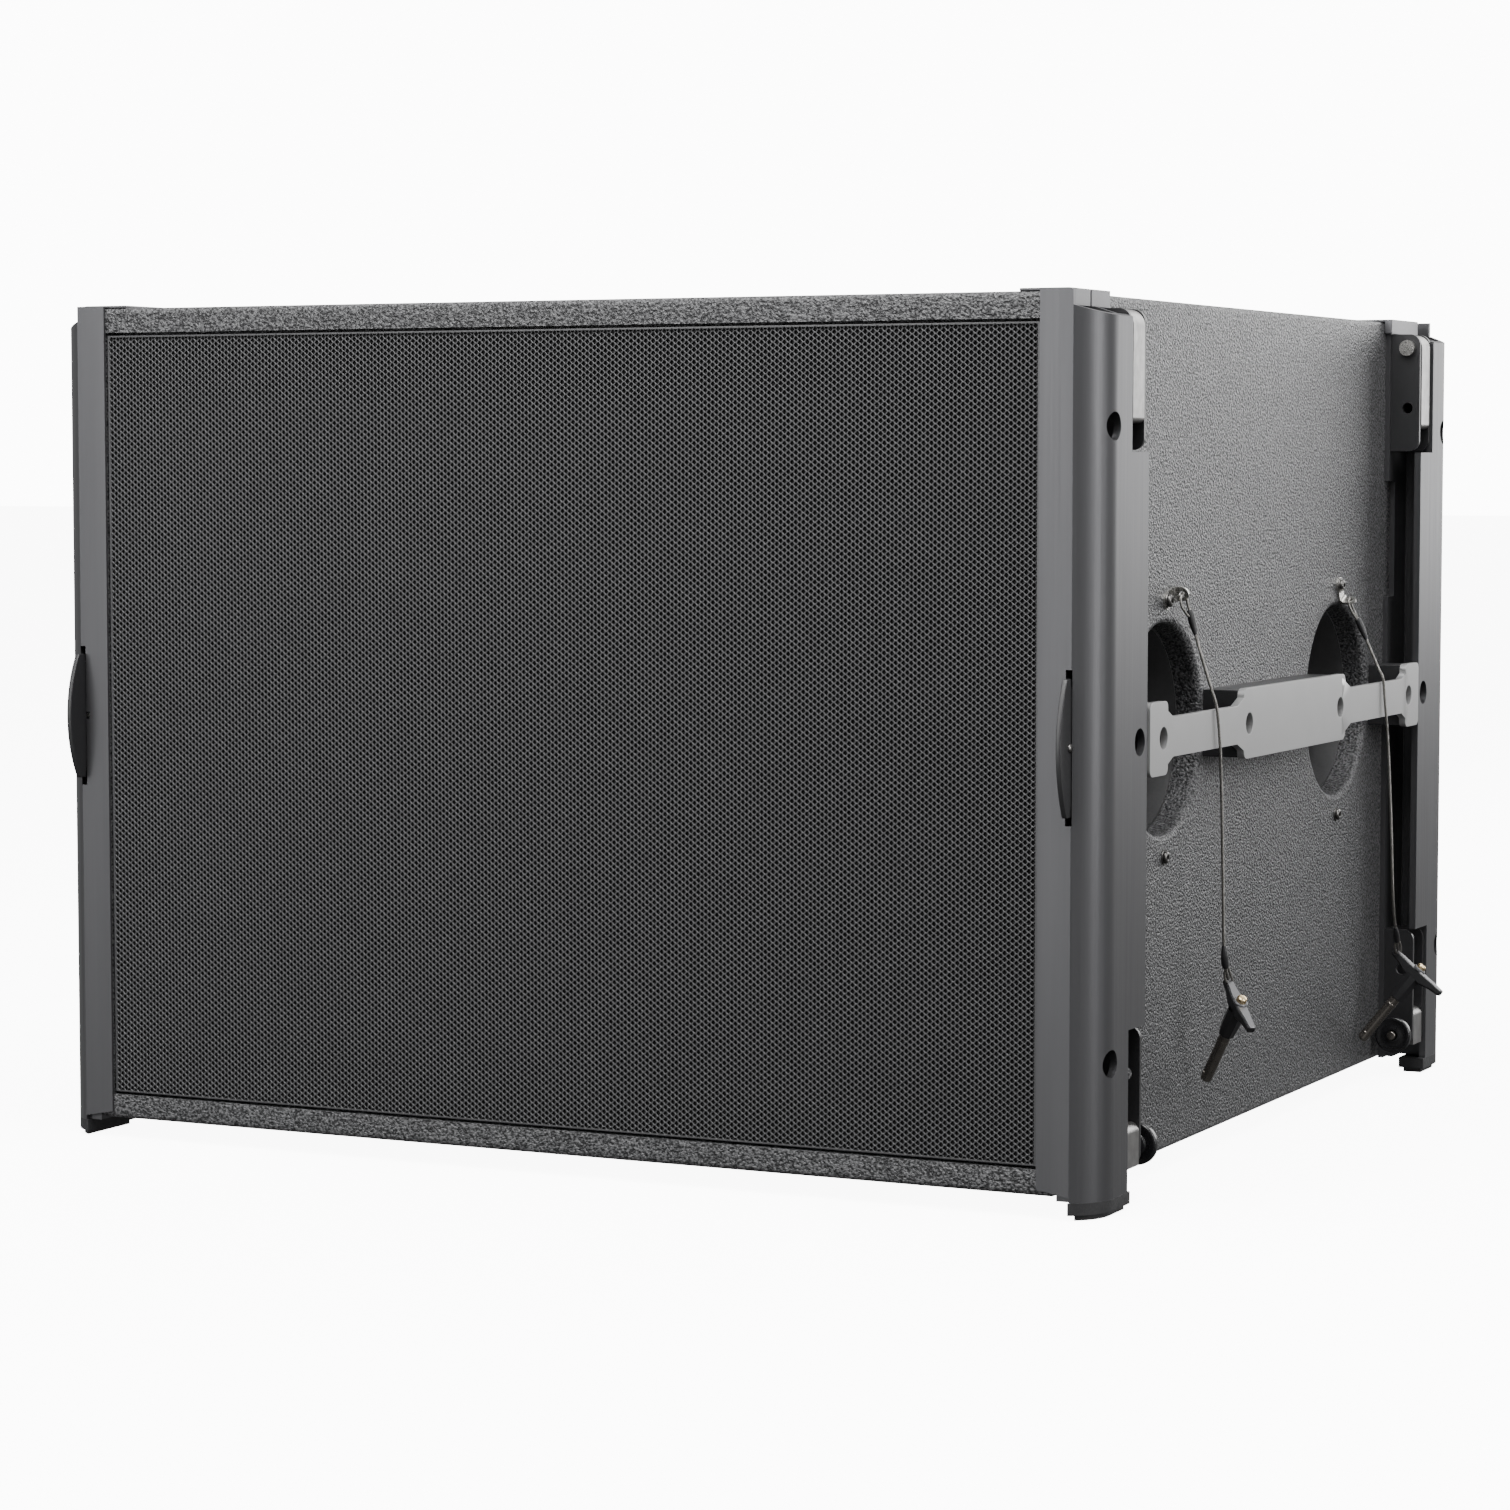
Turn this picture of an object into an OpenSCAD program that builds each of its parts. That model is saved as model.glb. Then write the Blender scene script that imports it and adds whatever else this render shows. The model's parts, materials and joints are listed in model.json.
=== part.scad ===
/* [Cabinet] */
// Width over the two side panels
cab_w = 728; // [700:1:760]
// Depth from the front edges to the back face
cab_d = 756; // [740:1:790]
// Height of the plywood box
cab_h = 570; // [560:1:600]
// Plywood thickness
ply = 18; // [16:1:20]
// Depth of the front baffle's face behind the front edges
baffle_v = 36; // [34:1:42]

/* [Rails] */
// How far a rail stands out from the side panel
rail_out = 29; // [28:0.5:30]
// Wall thickness of the rail's nose and side
rail_wall = 5; // [4:0.5:5]
// Thickness of the rail's web against the side panel
web_t = 4; // [3:0.5:4]
// Distance from the cabinet's front edge to the rail's free edge
rail_edge = 82; // [82:1:84]
// Width of the flat strip that laps onto the cabinet's front
strip_in = 12.3; // [8:0.1:14]
// Radius of the rounded nose, in plan
nose_r = 31.6; // [30:0.2:34]
// Height of a rail's access hole above the bottom, and below the top
access_z = 84; // [80:1:90]

/* [Rigging] */
// Radius of a quick-release pin's shaft
pin_r = 4; // [3.9:0.05:4]
// Radius of the holes that a quick-release pin goes through
pin_hole_r = 4.1; // [4.1:0.05:4.3]
// Height of the link's pivot above the cabinet's bottom
pivot_z = 550; // [548:1:552]
// Distance between the link's pivot and its pin hole
link_pitch = 46; // [44:1:48]
// Height of the lower pin above the cabinet's bottom
low_pin_z = 21; // [21:1:24]
// Height of the spare pin hole in the lower clevis
park_z = 70; // [66:1:76]

/* [Handles] */
// Distance from mid-depth to the centre of each hand cup
cup_y = 185; // [180:1:190]
// Radius of the round hand hole
cup_r = 71; // [66:1:72]
// Depth of the cup behind the side panel
cup_depth = 40; // [30:1:42]
// Height of the bar's tabs and middle
bar_h = 48; // [44:1:52]
// Height of the bar's two grips
grip_h = 26; // [22:1:30]

/* [Loudspeaker] */
// Outer radius of the woofer's frame
woofer_r = 230; // [224:1:232]

/* [Hidden] */
$fn = 48;
tiny = 0.01;

// Frame: the origin is under the middle of the whole outline
foot_drop = 14;
lever_reach = 20;
strip_v = -2;
cab_y = (lever_reach + strip_v) / 2;
cab_z = foot_drop;

// Rail profile, u outward from the side panel and v back from the front edge
rail_top = cab_h - 9;
rail_top_out = cab_h - 15;
rail_bottom = -2.5;
strip_top = cab_h + 1.5;
nose_start = 10;
nose_u = rail_out - nose_r;
nose_v = strip_v + sqrt(pow(nose_r, 2) - pow(nose_start - nose_u, 2));
cross_v = 34;
window_v = 52;
window_top = cab_h - 100;
window_low = 102;
access_r = 9;
access_v = 23;
middle_v = 69;
foot_back = 57;
notch = [359, 448];
notch_deep = 15;
cap_in = 28;
cap_u = 6;
cap_seam = 37;
cap_groove = 2;

// Clevises and links
clevis_v = 53;
clevis_end = 81;
ear_t = 3;
ear_u = 27;
clevis_u = 17.5;
upper_clevis = [window_top + 1, cab_h - 9.5];
lower_clevis = [10, window_low - 1];
link_v = 57;
link_t = 20;
link_w = 20;
link_low = 62;
pivot_r = 4;
running = 0.05;
stow_z = pivot_z - link_pitch;

// Levers
lever_u = 6.7;
lever_t = 3.4;
lever_slot = [6.2, 4.4, 98];
lever_v = 2;
lever_h = 87;
lever_end_v = -9;
lever_in = 12;
lever_pin_r = 2;

// Handle bar, in the side panel's own plane
bar_u = 25;
bar_t = 5;
bar_half = 293;
tab_half = 260;
shoulder_half = 250;
middle_half = 111.5;
bolt_out = 268;
bolt_in = 100;
bar_hole_r = 7.5;
bolt_r = 4;
bolt_seat = 8;
nut_r = 7.5;
nut_t = 6.5;

// Cups, lugs and screws
cup_rim = 75.5;
cup_flange_r = 96;
cup_flange_half = 74;
cup_wall = 3;
screw_r = 86;
lug_t = 1.6;

// Loudspeaker, v back from the front edge
port_in = 240;
port_w = 52;
port_wall = 12;
port_len = 330;
port_h = 500;
cone_r = 186;
cone_v = [30, 108];
cap_v = 82;
coil_r = 50;
spider_v = 128;
basket_v = 160;
magnet_r = 108;
woofer_z = cab_h / 2;

// Grille
grille_half = 351.2;
grille_gap = 0.8;
grille_t = 1.5;
grille_fold = 11;

// Input panel
input_w = 170;
input_h = 110;
input_z = 150;
input_rebate = 6;
socket_x = 34;
socket_r = 11;

// Quick-release pin
shaft_len = 42;
hub_r = 6.3;
hub_len = 24;
handle_len = 50;
handle_t = 8;
handle_end_t = 6.5;
button_r = 3.5;
knob_r = 14;
knob_at = 15;
knob_t = 6;

// Lanyards: outward, back from mid-depth, and up, all from the side panel's lower centre
front_route = [[7.5, -174.5, 374.9], [7.6, -171.5, 375.9], [8.3, -169.4, 374], [9.6, -169, 369],
    [12, -169.5, 361], [15, -170.5, 351.5], [18.5, -171.5, 340.5], [22.5, -172, 328.5],
    [26.3, -172, 317], [29.3, -171.5, 307.5], [31.2, -170.3, 299.5], [31.8, -168.5, 290],
    [32, -166, 277], [32, -163.5, 260], [32, -161.5, 240], [32, -160, 220], [32, -158.5, 200],
    [32, -157.3, 180], [32, -156.2, 160], [32, -155, 143], [32.2, -153.3, 129.5],
    [32.3, -149.6, 119.5], [32.2, -145.2, 113.8]];
rear_route = [[7.5, 189.7, 360.9], [7.6, 191.1, 357.9], [9, 192.2, 353.5], [12, 194, 346],
    [15.5, 195.6, 337.5], [19.5, 197, 327.5], [23.5, 198, 318], [27.3, 198.6, 309],
    [30.8, 199, 302], [31.6, 199.6, 295], [32, 201, 285], [32.6, 203.5, 270], [33.4, 205.5, 252],
    [34.3, 206.4, 232], [35.2, 206.8, 212], [36, 207, 192], [36.7, 207.5, 172], [36.8, 209, 153],
    [36.4, 212.8, 135.6], [35.6, 219, 120], [34.4, 227.5, 107.8], [32.8, 236.2, 98.6], [31.6, 242.6, 91.4]];
lanyard_r = 1.1;
front_pin_at = [32.3, -148.6, 77.6];
rear_pin_at = [32.7, 236, 56.1];
front_pin_turn = [-7.7, 33.3, -47.9];
rear_pin_turn = [-17.7, 34.6, -16.2];

module in_cabinet() translate([0, cab_y, cab_z]) children();

module on_side(side) {
    in_cabinet() {
        if (side > 0) translate([cab_w / 2, 0, 0]) children();
        else mirror([1, 0, 0]) translate([cab_w / 2, 0, 0]) children();
    }
}

// Corner frame: side is 1 at the right and -1 at the left, end is 1 at the front and -1 at the back
module at_corner(side, end) {
    on_side(side) {
        if (end > 0) translate([0, -cab_d / 2, 0]) children();
        else mirror([0, 1, 0]) translate([0, -cab_d / 2, 0]) children();
    }
}

module along_x(r, from, to) translate([from, 0, 0]) rotate([0, 90, 0]) cylinder(r = r, h = to - from);
module along_y(r, from, to) translate([0, from, 0]) rotate([-90, 0, 0]) cylinder(r = r, h = to - from);
module block(low, high) translate(low) cube(high - low);

// ---------- cabinet ----------

module top_panel() {
    color([0.2, 0.2, 0.21]) in_cabinet()
        block([-cab_w / 2, -cab_d / 2, cab_h - ply], [cab_w / 2, cab_d / 2, cab_h]);
}

module bottom_panel() {
    color([0.2, 0.2, 0.21]) in_cabinet()
        block([-cab_w / 2, -cab_d / 2, 0], [cab_w / 2, cab_d / 2, ply]);
}

module bolt_holes(r) {
    for (end = [1, -1], s = [[access_v, access_z], [access_v, cab_h - access_z], [middle_v, cab_h / 2]])
        translate([0, end * (s[0] - cab_d / 2), s[1]]) along_x(r, -ply - 8, 1);
    for (y = [-bolt_out, -bolt_in, bolt_in, bolt_out])
        translate([0, y, cab_h / 2]) along_x(r, -ply - 8, 1);
}

module side_panel(side) {
    color([0.2, 0.2, 0.21]) on_side(side) difference() {
        block([-ply, -cab_d / 2, ply], [0, cab_d / 2, cab_h - ply]);
        for (y = [-cup_y, cup_y]) translate([0, y, cab_h / 2]) {
            along_x(cup_r, -ply - 1, 1);
            translate([-cup_rim + cup_r, 0, 0]) rotate([0, 90, 0])
                cylinder(r1 = cup_r, r2 = cup_rim + tiny, h = cup_rim - cup_r + tiny, $fn = 96);
        }
        bolt_holes(bolt_r);
        block([-ply - 1, -cab_d / 2 - 1, ply - 1], [-ply + 6, -cab_d / 2 + 14, cab_h - ply + 1]);
    }
}

module back_panel() {
    color([0.18, 0.18, 0.19]) in_cabinet() difference() {
        block([-cab_w / 2 + ply, cab_d / 2 - ply, ply], [cab_w / 2 - ply, cab_d / 2, cab_h - ply]);
        block([-input_w / 2 - 1, cab_d / 2 - input_rebate, input_z - input_h / 2 - 1],
            [input_w / 2 + 1, cab_d / 2 + 1, input_z + input_h / 2 + 1]);
        block([-input_w / 2 + 12, cab_d / 2 - ply - 1, input_z - input_h / 2 + 12],
            [input_w / 2 - 12, cab_d / 2, input_z + input_h / 2 - 12]);
        // Notches round the nuts of the rear rails' bolts
        for (side = [1, -1], z = [access_z, cab_h - access_z])
            translate([side * (cab_w / 2 - ply), cab_d / 2 - access_v, z])
                along_x(nut_r + 1, -nut_t - 2, nut_t + 2);
    }
}

module front_baffle() {
    color([0.12, 0.12, 0.12]) in_cabinet() translate([0, -cab_d / 2 + baffle_v, 0]) difference() {
        block([-cab_w / 2 + ply, 0, ply], [cab_w / 2 - ply, ply, cab_h - ply]);
        translate([0, 0, woofer_z]) along_y(woofer_r - 18, -1, ply + 1);
        for (side = [-1, 1])
            translate([side * (port_in + port_w / 2), ply / 2, woofer_z])
                cube([port_w, ply + 2, port_h], center = true);
    }
}

module port_walls(side) {
    color([0.5, 0.4, 0.28]) in_cabinet() for (x = [port_in - port_wall, port_in + port_w])
        translate([side > 0 ? x : -x - port_wall, -cab_d / 2 + baffle_v + ply, ply])
            cube([port_wall, port_len, cab_h - 2 * ply]);
}

module front_grille() {
    low = ply + grille_gap;
    high = cab_h - ply - grille_gap;
    color([0.1, 0.1, 0.11]) in_cabinet() translate([0, -cab_d / 2, 0]) difference() {
        block([-grille_half, 1, low], [grille_half, 1 + grille_fold, high]);
        block([-grille_half + grille_t, 1 + grille_t, low + grille_t],
            [grille_half - grille_t, 2 + grille_fold, high - grille_t]);
    }
}

module grille_foam() {
    low = ply + grille_gap + grille_t;
    high = cab_h - ply - grille_gap - grille_t;
    half = grille_half - grille_t;
    color([0.04, 0.04, 0.04]) in_cabinet() translate([0, -cab_d / 2, 0])
        block([-half, 1 + grille_t, low], [half, 9, high]);
}

// ---------- loudspeaker ----------

// Woofer frame: x is the radius and y runs back from the cabinet's front edge
module woofer_at() {
    in_cabinet() translate([0, -cab_d / 2, woofer_z]) rotate([-90, 0, 0]) children();
}

module woofer_basket() {
    flange = [baffle_v - 9, baffle_v];
    color([0.15, 0.15, 0.16]) woofer_at() difference() {
        rotate_extrude($fn = 96) polygon([[cone_r + 23, flange[0]], [woofer_r, flange[0]],
            [woofer_r, flange[1]], [woofer_r - 22, flange[1]], [118, 122], [118, basket_v],
            [coil_r + 10, basket_v], [coil_r + 10, basket_v - 6], [112, basket_v - 6],
            [112, 119], [woofer_r - 30, flange[1]], [cone_r + 23, flange[0] + 4]]);
        for (a = [0:45:315]) rotate([0, 0, a + 22.5])
            translate([118, -34, flange[1] + 12]) cube([90, 68, 66]);
    }
}

module woofer_surround() {
    v = baffle_v - 9;
    color([0.08, 0.08, 0.08]) woofer_at() rotate_extrude($fn = 96) difference() {
        union() {
            translate([cone_r + 12, v]) circle(r = 9.5);
            translate([cone_r + 0.5, v]) square([23.5, 1.6]);
        }
        translate([cone_r + 12, v]) circle(r = 8);
        translate([cone_r - 5, v + 1.6]) square([40, 20]);
        translate([cone_r + 22.9, v - 1]) square([10, 4]);
    }
}

module woofer_cone() {
    color([0.1, 0.1, 0.1]) woofer_at() rotate_extrude($fn = 96)
        polygon([[cone_r, cone_v[0] - 3], [cone_r, cone_v[0]], [coil_r + 5, cone_v[1] + 4],
            [coil_r + 2, cone_v[1] + 4], [coil_r + 2, cone_v[1]], [coil_r + 4, cone_v[1]],
            [cone_r - 4, cone_v[0] - 3]]);
}

module woofer_dust_cap() {
    cap_r = 66;
    rise = 18;
    r = (pow(cap_r, 2) + pow(rise, 2)) / (2 * rise);
    color([0.08, 0.08, 0.08]) woofer_at() translate([0, 0, cap_v]) rotate_extrude($fn = 96)
        intersection() {
            difference() {
                translate([0, r]) circle(r = r + 2, $fn = 192);
                translate([0, r]) circle(r = r, $fn = 192);
            }
            translate([0, -4]) square([cap_r, rise + 4]);
        }
}

module woofer_spider() {
    color([0.75, 0.6, 0.3]) woofer_at() translate([0, 0, spider_v]) rotate_extrude($fn = 96)
        translate([coil_r + 2.4, 0]) square([109.5 - coil_r, 1.5]);
}

module woofer_voice_coil() {
    color([0.7, 0.45, 0.2]) woofer_at() translate([0, 0, cone_v[1] - 4]) difference() {
        cylinder(r = coil_r + 1.7, h = 72);
        translate([0, 0, -1]) cylinder(r = coil_r, h = 74);
    }
}

module woofer_top_plate() {
    color([0.5, 0.5, 0.52]) woofer_at() translate([0, 0, basket_v]) difference() {
        cylinder(r = magnet_r - 4, h = 8, $fn = 96);
        translate([0, 0, -1]) cylinder(r = coil_r + 3, h = 10);
    }
}

module woofer_magnet() {
    color([0.16, 0.16, 0.17]) woofer_at() translate([0, 0, basket_v + 8]) difference() {
        cylinder(r = magnet_r, h = 26, $fn = 96);
        translate([0, 0, -1]) cylinder(r = coil_r + 8, h = 28);
    }
}

module woofer_pole_piece() {
    color([0.55, 0.55, 0.57]) woofer_at() difference() {
        union() {
            translate([0, 0, basket_v]) cylinder(r = coil_r - 1.5, h = 35);
            translate([0, 0, basket_v + 34]) cylinder(r = magnet_r - 4, h = 9, $fn = 96);
        }
        translate([0, 0, basket_v - 1]) cylinder(r = 14, h = 50);
    }
}

module woofer_screws() {
    color("silver") woofer_at() for (a = [22.5:45:359])
        rotate([0, 0, a]) translate([woofer_r - 9, 0, baffle_v]) {
            translate([0, 0, -13]) cylinder(r = 5, h = 4);
            translate([0, 0, -9 - tiny]) cylinder(r = 2.5, h = 22);
        }
}

// ---------- input panel ----------

module input_at() in_cabinet() translate([0, cab_d / 2 - input_rebate, input_z]) children();

module input_plate() {
    color([0.16, 0.16, 0.17]) input_at() difference() {
        block([-input_w / 2, 0, -input_h / 2], [input_w / 2, 3, input_h / 2]);
        for (x = [-socket_x, socket_x]) translate([x, 0, 0]) along_y(socket_r + 2, -1, 4);
    }
}

module input_sockets() {
    color([0.1, 0.1, 0.11]) input_at() for (x = [-socket_x, socket_x]) translate([x, 0, 0])
        difference() {
            union() {
                along_y(socket_r + 2, -20, 3);
                translate([-socket_r - 4, 3, -socket_r - 4]) cube([2 * socket_r + 8, 3, 2 * socket_r + 8]);
            }
            along_y(socket_r, -16, 7);
        }
}

module input_screws() {
    color("silver") input_at() for (x = [-1, 0, 1], z = [-1, 1])
        translate([x * (input_w / 2 - 7), 0, z * (input_h / 2 - 7)]) {
            along_y(3.5, 3, 5);
            along_y(1.7, -8, 3.1);
        }
}

// ---------- rails ----------

// Plan outline of the nose and the side wall, moved inward by inset
module nose_outline(inset, back) {
    intersection() {
        translate([0, strip_v + inset]) square([rail_out - inset, back - strip_v - inset]);
        union() {
            translate([nose_u, nose_v]) circle(r = nose_r - inset, $fn = 128);
            translate([0, nose_v]) square([rail_out, back - nose_v]);
        }
    }
}

module rail_profile() {
    difference() {
        union() {
            nose_outline(0, rail_edge);
            translate([-strip_in, strip_v]) square([strip_in + 1, -strip_v]);
        }
        intersection() {
            nose_outline(rail_wall, cross_v);
            translate([web_t, strip_v + 4]) square([rail_out, cross_v]);
        }
        translate([web_t, cross_v + 4]) square([rail_out - rail_wall - web_t, rail_edge]);
    }
}

module rail_trims() {
    // Everything behind the strip stops below the cabinet's top, and slopes down outward
    translate([0, rail_edge + 10, 0]) rotate([90, 0, 0])
        linear_extrude(rail_edge + 10 - strip_v - 4)
            polygon([[-1, rail_top], [nose_start, rail_top], [40, rail_top_out - 3.5], [40, 700], [-1, 700]]);
    translate([0, 10, 0]) rotate([90, 0, 0]) linear_extrude(20)
        polygon([[nose_start, rail_top], [40, rail_top_out - 3.5], [40, 700], [nose_start, 700]]);
    // The strip's foot slopes, and the web behind the nose ends at the cabinet's bottom
    translate([0, strip_v + 4, 0]) rotate([90, 0, 0]) linear_extrude(20)
        polygon([[-strip_in - 1, -20], [nose_start, -20], [nose_start, 0.7], [-strip_in - 1, 5]]);
    block([-1, foot_back, -20], [40, rail_edge + 1, 0]);
    // Open windows over the two clevises
    block([rail_out - rail_wall - 1, window_v, window_top], [40, rail_edge + 1, 700]);
    block([rail_out - rail_wall - 1, window_v, -20], [40, rail_edge + 1, window_low]);
}

module rail(side, end) {
    color([0.34, 0.34, 0.36]) at_corner(side, end) difference() {
        translate([0, 0, rail_bottom]) linear_extrude(strip_top - rail_bottom) rail_profile();
        rail_trims();
        for (z = [access_z, cab_h - access_z])
            translate([0, access_v, z]) {
                along_x(access_r, rail_out - 14, 40);
                along_x(bolt_r, -1, web_t + 1);
            }
        translate([0, middle_v, cab_h / 2]) {
            along_x(access_r, rail_out - 14, 40);
            along_x(bolt_r, -1, web_t + 1);
        }
        // Notch in the web's free edge, between the upper clevis and the bar
        block([-1, rail_edge - notch_deep, notch[0]], [web_t + 1, rail_edge + 1, notch[1]]);
        if (end > 0) {
            translate([lever_slot[0], strip_v - 1, (cab_h - lever_slot[2]) / 2])
                cube([lever_slot[1], 13, lever_slot[2]]);
            translate([0, lever_v, cab_h / 2]) along_x(lever_pin_r, 2, 11.4);
            block([3.2, strip_v - 1, cab_h / 2 - 2.4], [lever_slot[0] + 1, 1, cab_h / 2 + 2.4]);
        }
    }
}

module rail_feet() {
    color([0.12, 0.12, 0.12]) for (side = [1, -1], end = [1, -1]) at_corner(side, end)
        for (s = [[0, rail_bottom - 8, 8], [3, -foot_drop, 3.5 + tiny]])
            translate([0, 0, s[1]]) linear_extrude(s[2]) intersection() {
                nose_outline(s[0], foot_back - s[0]);
                translate([nose_start - 1 + s[0], -10]) square([40, 80]);
            }
}

module top_caps() {
    color([0.3, 0.3, 0.32]) for (side = [1, -1], end = [1, -1]) at_corner(side, end) {
        range = end > 0 ? [2, rail_edge - 10] : [18, rail_edge + 4];
        block([-cap_in, range[0], cab_h], [tiny, range[1], cab_h + 2]);
        difference() {
            block([0, range[0], rail_top], [cap_u, range[1], cab_h + 2]);
            if (end > 0) block([cap_u - cap_groove, cap_seam, rail_top - 1],
                [cap_u + 1, cap_seam + cap_groove, cab_h + 3]);
        }
    }
}

// ---------- rigging ----------

module clevis(range, holes) {
    corner = 8;
    difference() {
        union() {
            block([web_t, clevis_v, range[0]], [web_t + ear_t, clevis_end, range[1]]);
            for (v = [clevis_v, clevis_end - ear_t]) {
                block([web_t, v, range[0]], [ear_u - corner, v + ear_t, range[1]]);
                block([web_t, v, range[0] + corner], [ear_u, v + ear_t, range[1] - corner]);
                for (z = [range[0] + corner, range[1] - corner])
                    translate([ear_u - corner, 0, z]) along_y(corner, v, v + ear_t);
            }
        }
        for (h = holes) translate([clevis_u, 0, h[0]]) along_y(h[1], clevis_v - 1, clevis_end + 1);
    }
}

module clevises(side) {
    color([0.13, 0.13, 0.14]) for (end = [1, -1]) at_corner(side, end) {
        clevis(upper_clevis, [[pivot_z, pivot_r], [stow_z, pin_hole_r]]);
        clevis(lower_clevis, [[low_pin_z, pin_hole_r], [park_z, pin_hole_r]]);
    }
}

module link(side, end) {
    r = link_w / 2;
    corner = 4;
    color([0.45, 0.45, 0.47]) at_corner(side, end)
        translate([clevis_u, 0, pivot_z]) difference() {
            union() {
                along_y(r, link_v, link_v + link_t);
                block([-r, link_v, -link_low + corner], [r, link_v + link_t, 0]);
                block([-r + corner, link_v, -link_low], [r - corner, link_v + link_t, -link_low + 2 * corner]);
                for (x = [-1, 1]) translate([x * (r - corner), 0, -link_low + corner])
                    along_y(corner, link_v, link_v + link_t);
            }
            along_y(pivot_r + running, link_v - 1, link_v + link_t + 1);
            translate([0, 0, -link_pitch]) along_y(pin_hole_r, link_v - 1, link_v + link_t + 1);
        }
}

module link_pivots() {
    color("silver") for (side = [1, -1], end = [1, -1]) at_corner(side, end)
        translate([clevis_u, 0, pivot_z]) {
            along_y(pivot_r, clevis_v - 2, clevis_end + 1);
            along_y(6, clevis_end, clevis_end + 4);
            along_y(6.5, clevis_v - 3, clevis_v);
        }
}

module guide_blocks() {
    low = lower_clevis[0] + 1;
    high = 39;
    round_r = 6;
    color([0.5, 0.5, 0.52]) for (side = [1, -1], end = [1, -1]) at_corner(side, end)
        difference() {
            union() {
                block([web_t + ear_t, link_v - 0.5, low], [ear_u, link_v + link_t + 0.5, high - round_r]);
                block([web_t + ear_t, link_v - 0.5, low], [ear_u - round_r, link_v + link_t + 0.5, high]);
                translate([ear_u - round_r, 0, high - round_r])
                    along_y(round_r, link_v - 0.5, link_v + link_t + 0.5);
            }
            translate([clevis_u, 0, low_pin_z]) along_y(pin_hole_r, link_v - 1, link_v + link_t + 1);
        }
}

// Quick-release pin: the shaft runs down from the hub's underside at the origin
module pin_handle() {
    difference() {
        hull() {
            translate([-handle_len / 2 + 3, 0, hub_len + 1.5])
                rotate([90, 0, 0]) cylinder(r = 3, h = handle_end_t, center = true, $fn = 24);
            translate([handle_len / 2 - 3, 0, hub_len + 1.5])
                rotate([90, 0, 0]) cylinder(r = 3, h = handle_end_t, center = true, $fn = 24);
            translate([-7, -handle_t / 2, hub_len - 5]) cube([14, handle_t, handle_t]);
        }
        translate([0, 0, hub_len - 4]) cylinder(r = button_r + 0.1, h = 20);
        translate([-handle_len / 2 + 3.5, 0, hub_len + 1.5])
            rotate([90, 0, 0]) cylinder(r = 1.4, h = 20, center = true);
    }
}

module release_pin() {
    translate([0, 0, -shaft_len]) cylinder(r = pin_r, h = shaft_len + 1);
    cylinder(r = hub_r, h = hub_len - 4);
    pin_handle();
}

module pin_button_solid() translate([0, 0, hub_len - 4 + 3.2]) cylinder(r = button_r, h = 9);

// Lower pin: a round knob with a button in its middle
module low_pin(side, end) {
    face = knob_at + knob_t;
    color([0.3, 0.3, 0.31]) at_corner(side, end)
        translate([clevis_u, clevis_end + 0.3, low_pin_z]) rotate([-90, 0, 0])
            rotate_extrude() polygon([[0, -shaft_len], [pin_r - 1, -shaft_len], [pin_r, 1 - shaft_len],
                [pin_r, 0], [hub_r, 0], [hub_r, knob_at], [knob_r - 1, knob_at], [knob_r, knob_at + 1],
                [knob_r, face - 1], [knob_r - 1, face], [button_r, face], [button_r, face + 2.5],
                [button_r - 1, face + 3.5], [0, face + 3.5]]);
}

module tether_pin_at(place, turn) on_side(1) translate(place) rotate(turn) children();

module front_tether_pin() {
    color([0.35, 0.35, 0.36]) tether_pin_at(front_pin_at, front_pin_turn)
        release_pin();
}

module rear_tether_pin() {
    color([0.35, 0.35, 0.36]) tether_pin_at(rear_pin_at, rear_pin_turn)
        release_pin();
}

module front_pin_button() {
    color([0.8, 0.65, 0.35]) tether_pin_at(front_pin_at, front_pin_turn) pin_button_solid();
}

module rear_pin_button() {
    color([0.8, 0.65, 0.35]) tether_pin_at(rear_pin_at, rear_pin_turn) pin_button_solid();
}

// ---------- levers ----------

module lock_lever(side) {
    half = lever_h / 2;
    sag = lever_reach + lever_end_v;
    r = (pow(half, 2) + pow(sag, 2)) / (2 * sag);
    color([0.2, 0.2, 0.21]) at_corner(side, 1) translate([lever_u, 0, cab_h / 2]) difference() {
        rotate([90, 0, 90]) linear_extrude(lever_t) union() {
            intersection() {
                translate([r - lever_reach, 0]) circle(r = r, $fn = 256);
                translate([-lever_reach - 1, -half]) square([lever_reach + 1 + strip_v, lever_h]);
            }
            translate([strip_v - tiny, -38]) square([lever_in - strip_v, 76]);
        }
        translate([0, lever_v, 0]) along_x(lever_pin_r + running, -1, lever_t + 1);
    }
}

module lever_pivots() {
    color("silver") for (side = [1, -1]) at_corner(side, 1)
        translate([0, lever_v, cab_h / 2]) along_x(lever_pin_r, 2, 11.4);
}

// ---------- handles ----------

// Outline of the bar: tabs, grips and middle, x along the bar and y up
module bar_outline() {
    for (s = [1, -1]) {
        hull() for (x = [tab_half + 5, bar_half - 5], y = [-1, 1])
            translate([s * x, y * (bar_h / 2 - 5)]) circle(r = 5, $fn = 32);
        polygon([[s * (middle_half - 8), bar_h / 2 - 3], [s * (middle_half + 13.5), grip_h / 2],
            [s * shoulder_half, grip_h / 2], [s * (tab_half + 4), bar_h / 2 - 5],
            [s * (tab_half + 4), 5 - bar_h / 2], [s * shoulder_half, -grip_h / 2],
            [s * (middle_half + 13.5), -grip_h / 2], [s * (middle_half - 8), 3 - bar_h / 2]]);
    }
    hull() for (x = [-1, 1], y = [-1, 1])
        translate([x * (middle_half - 6), y * (bar_h / 2 - 6)]) circle(r = 6, $fn = 32);
}

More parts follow.
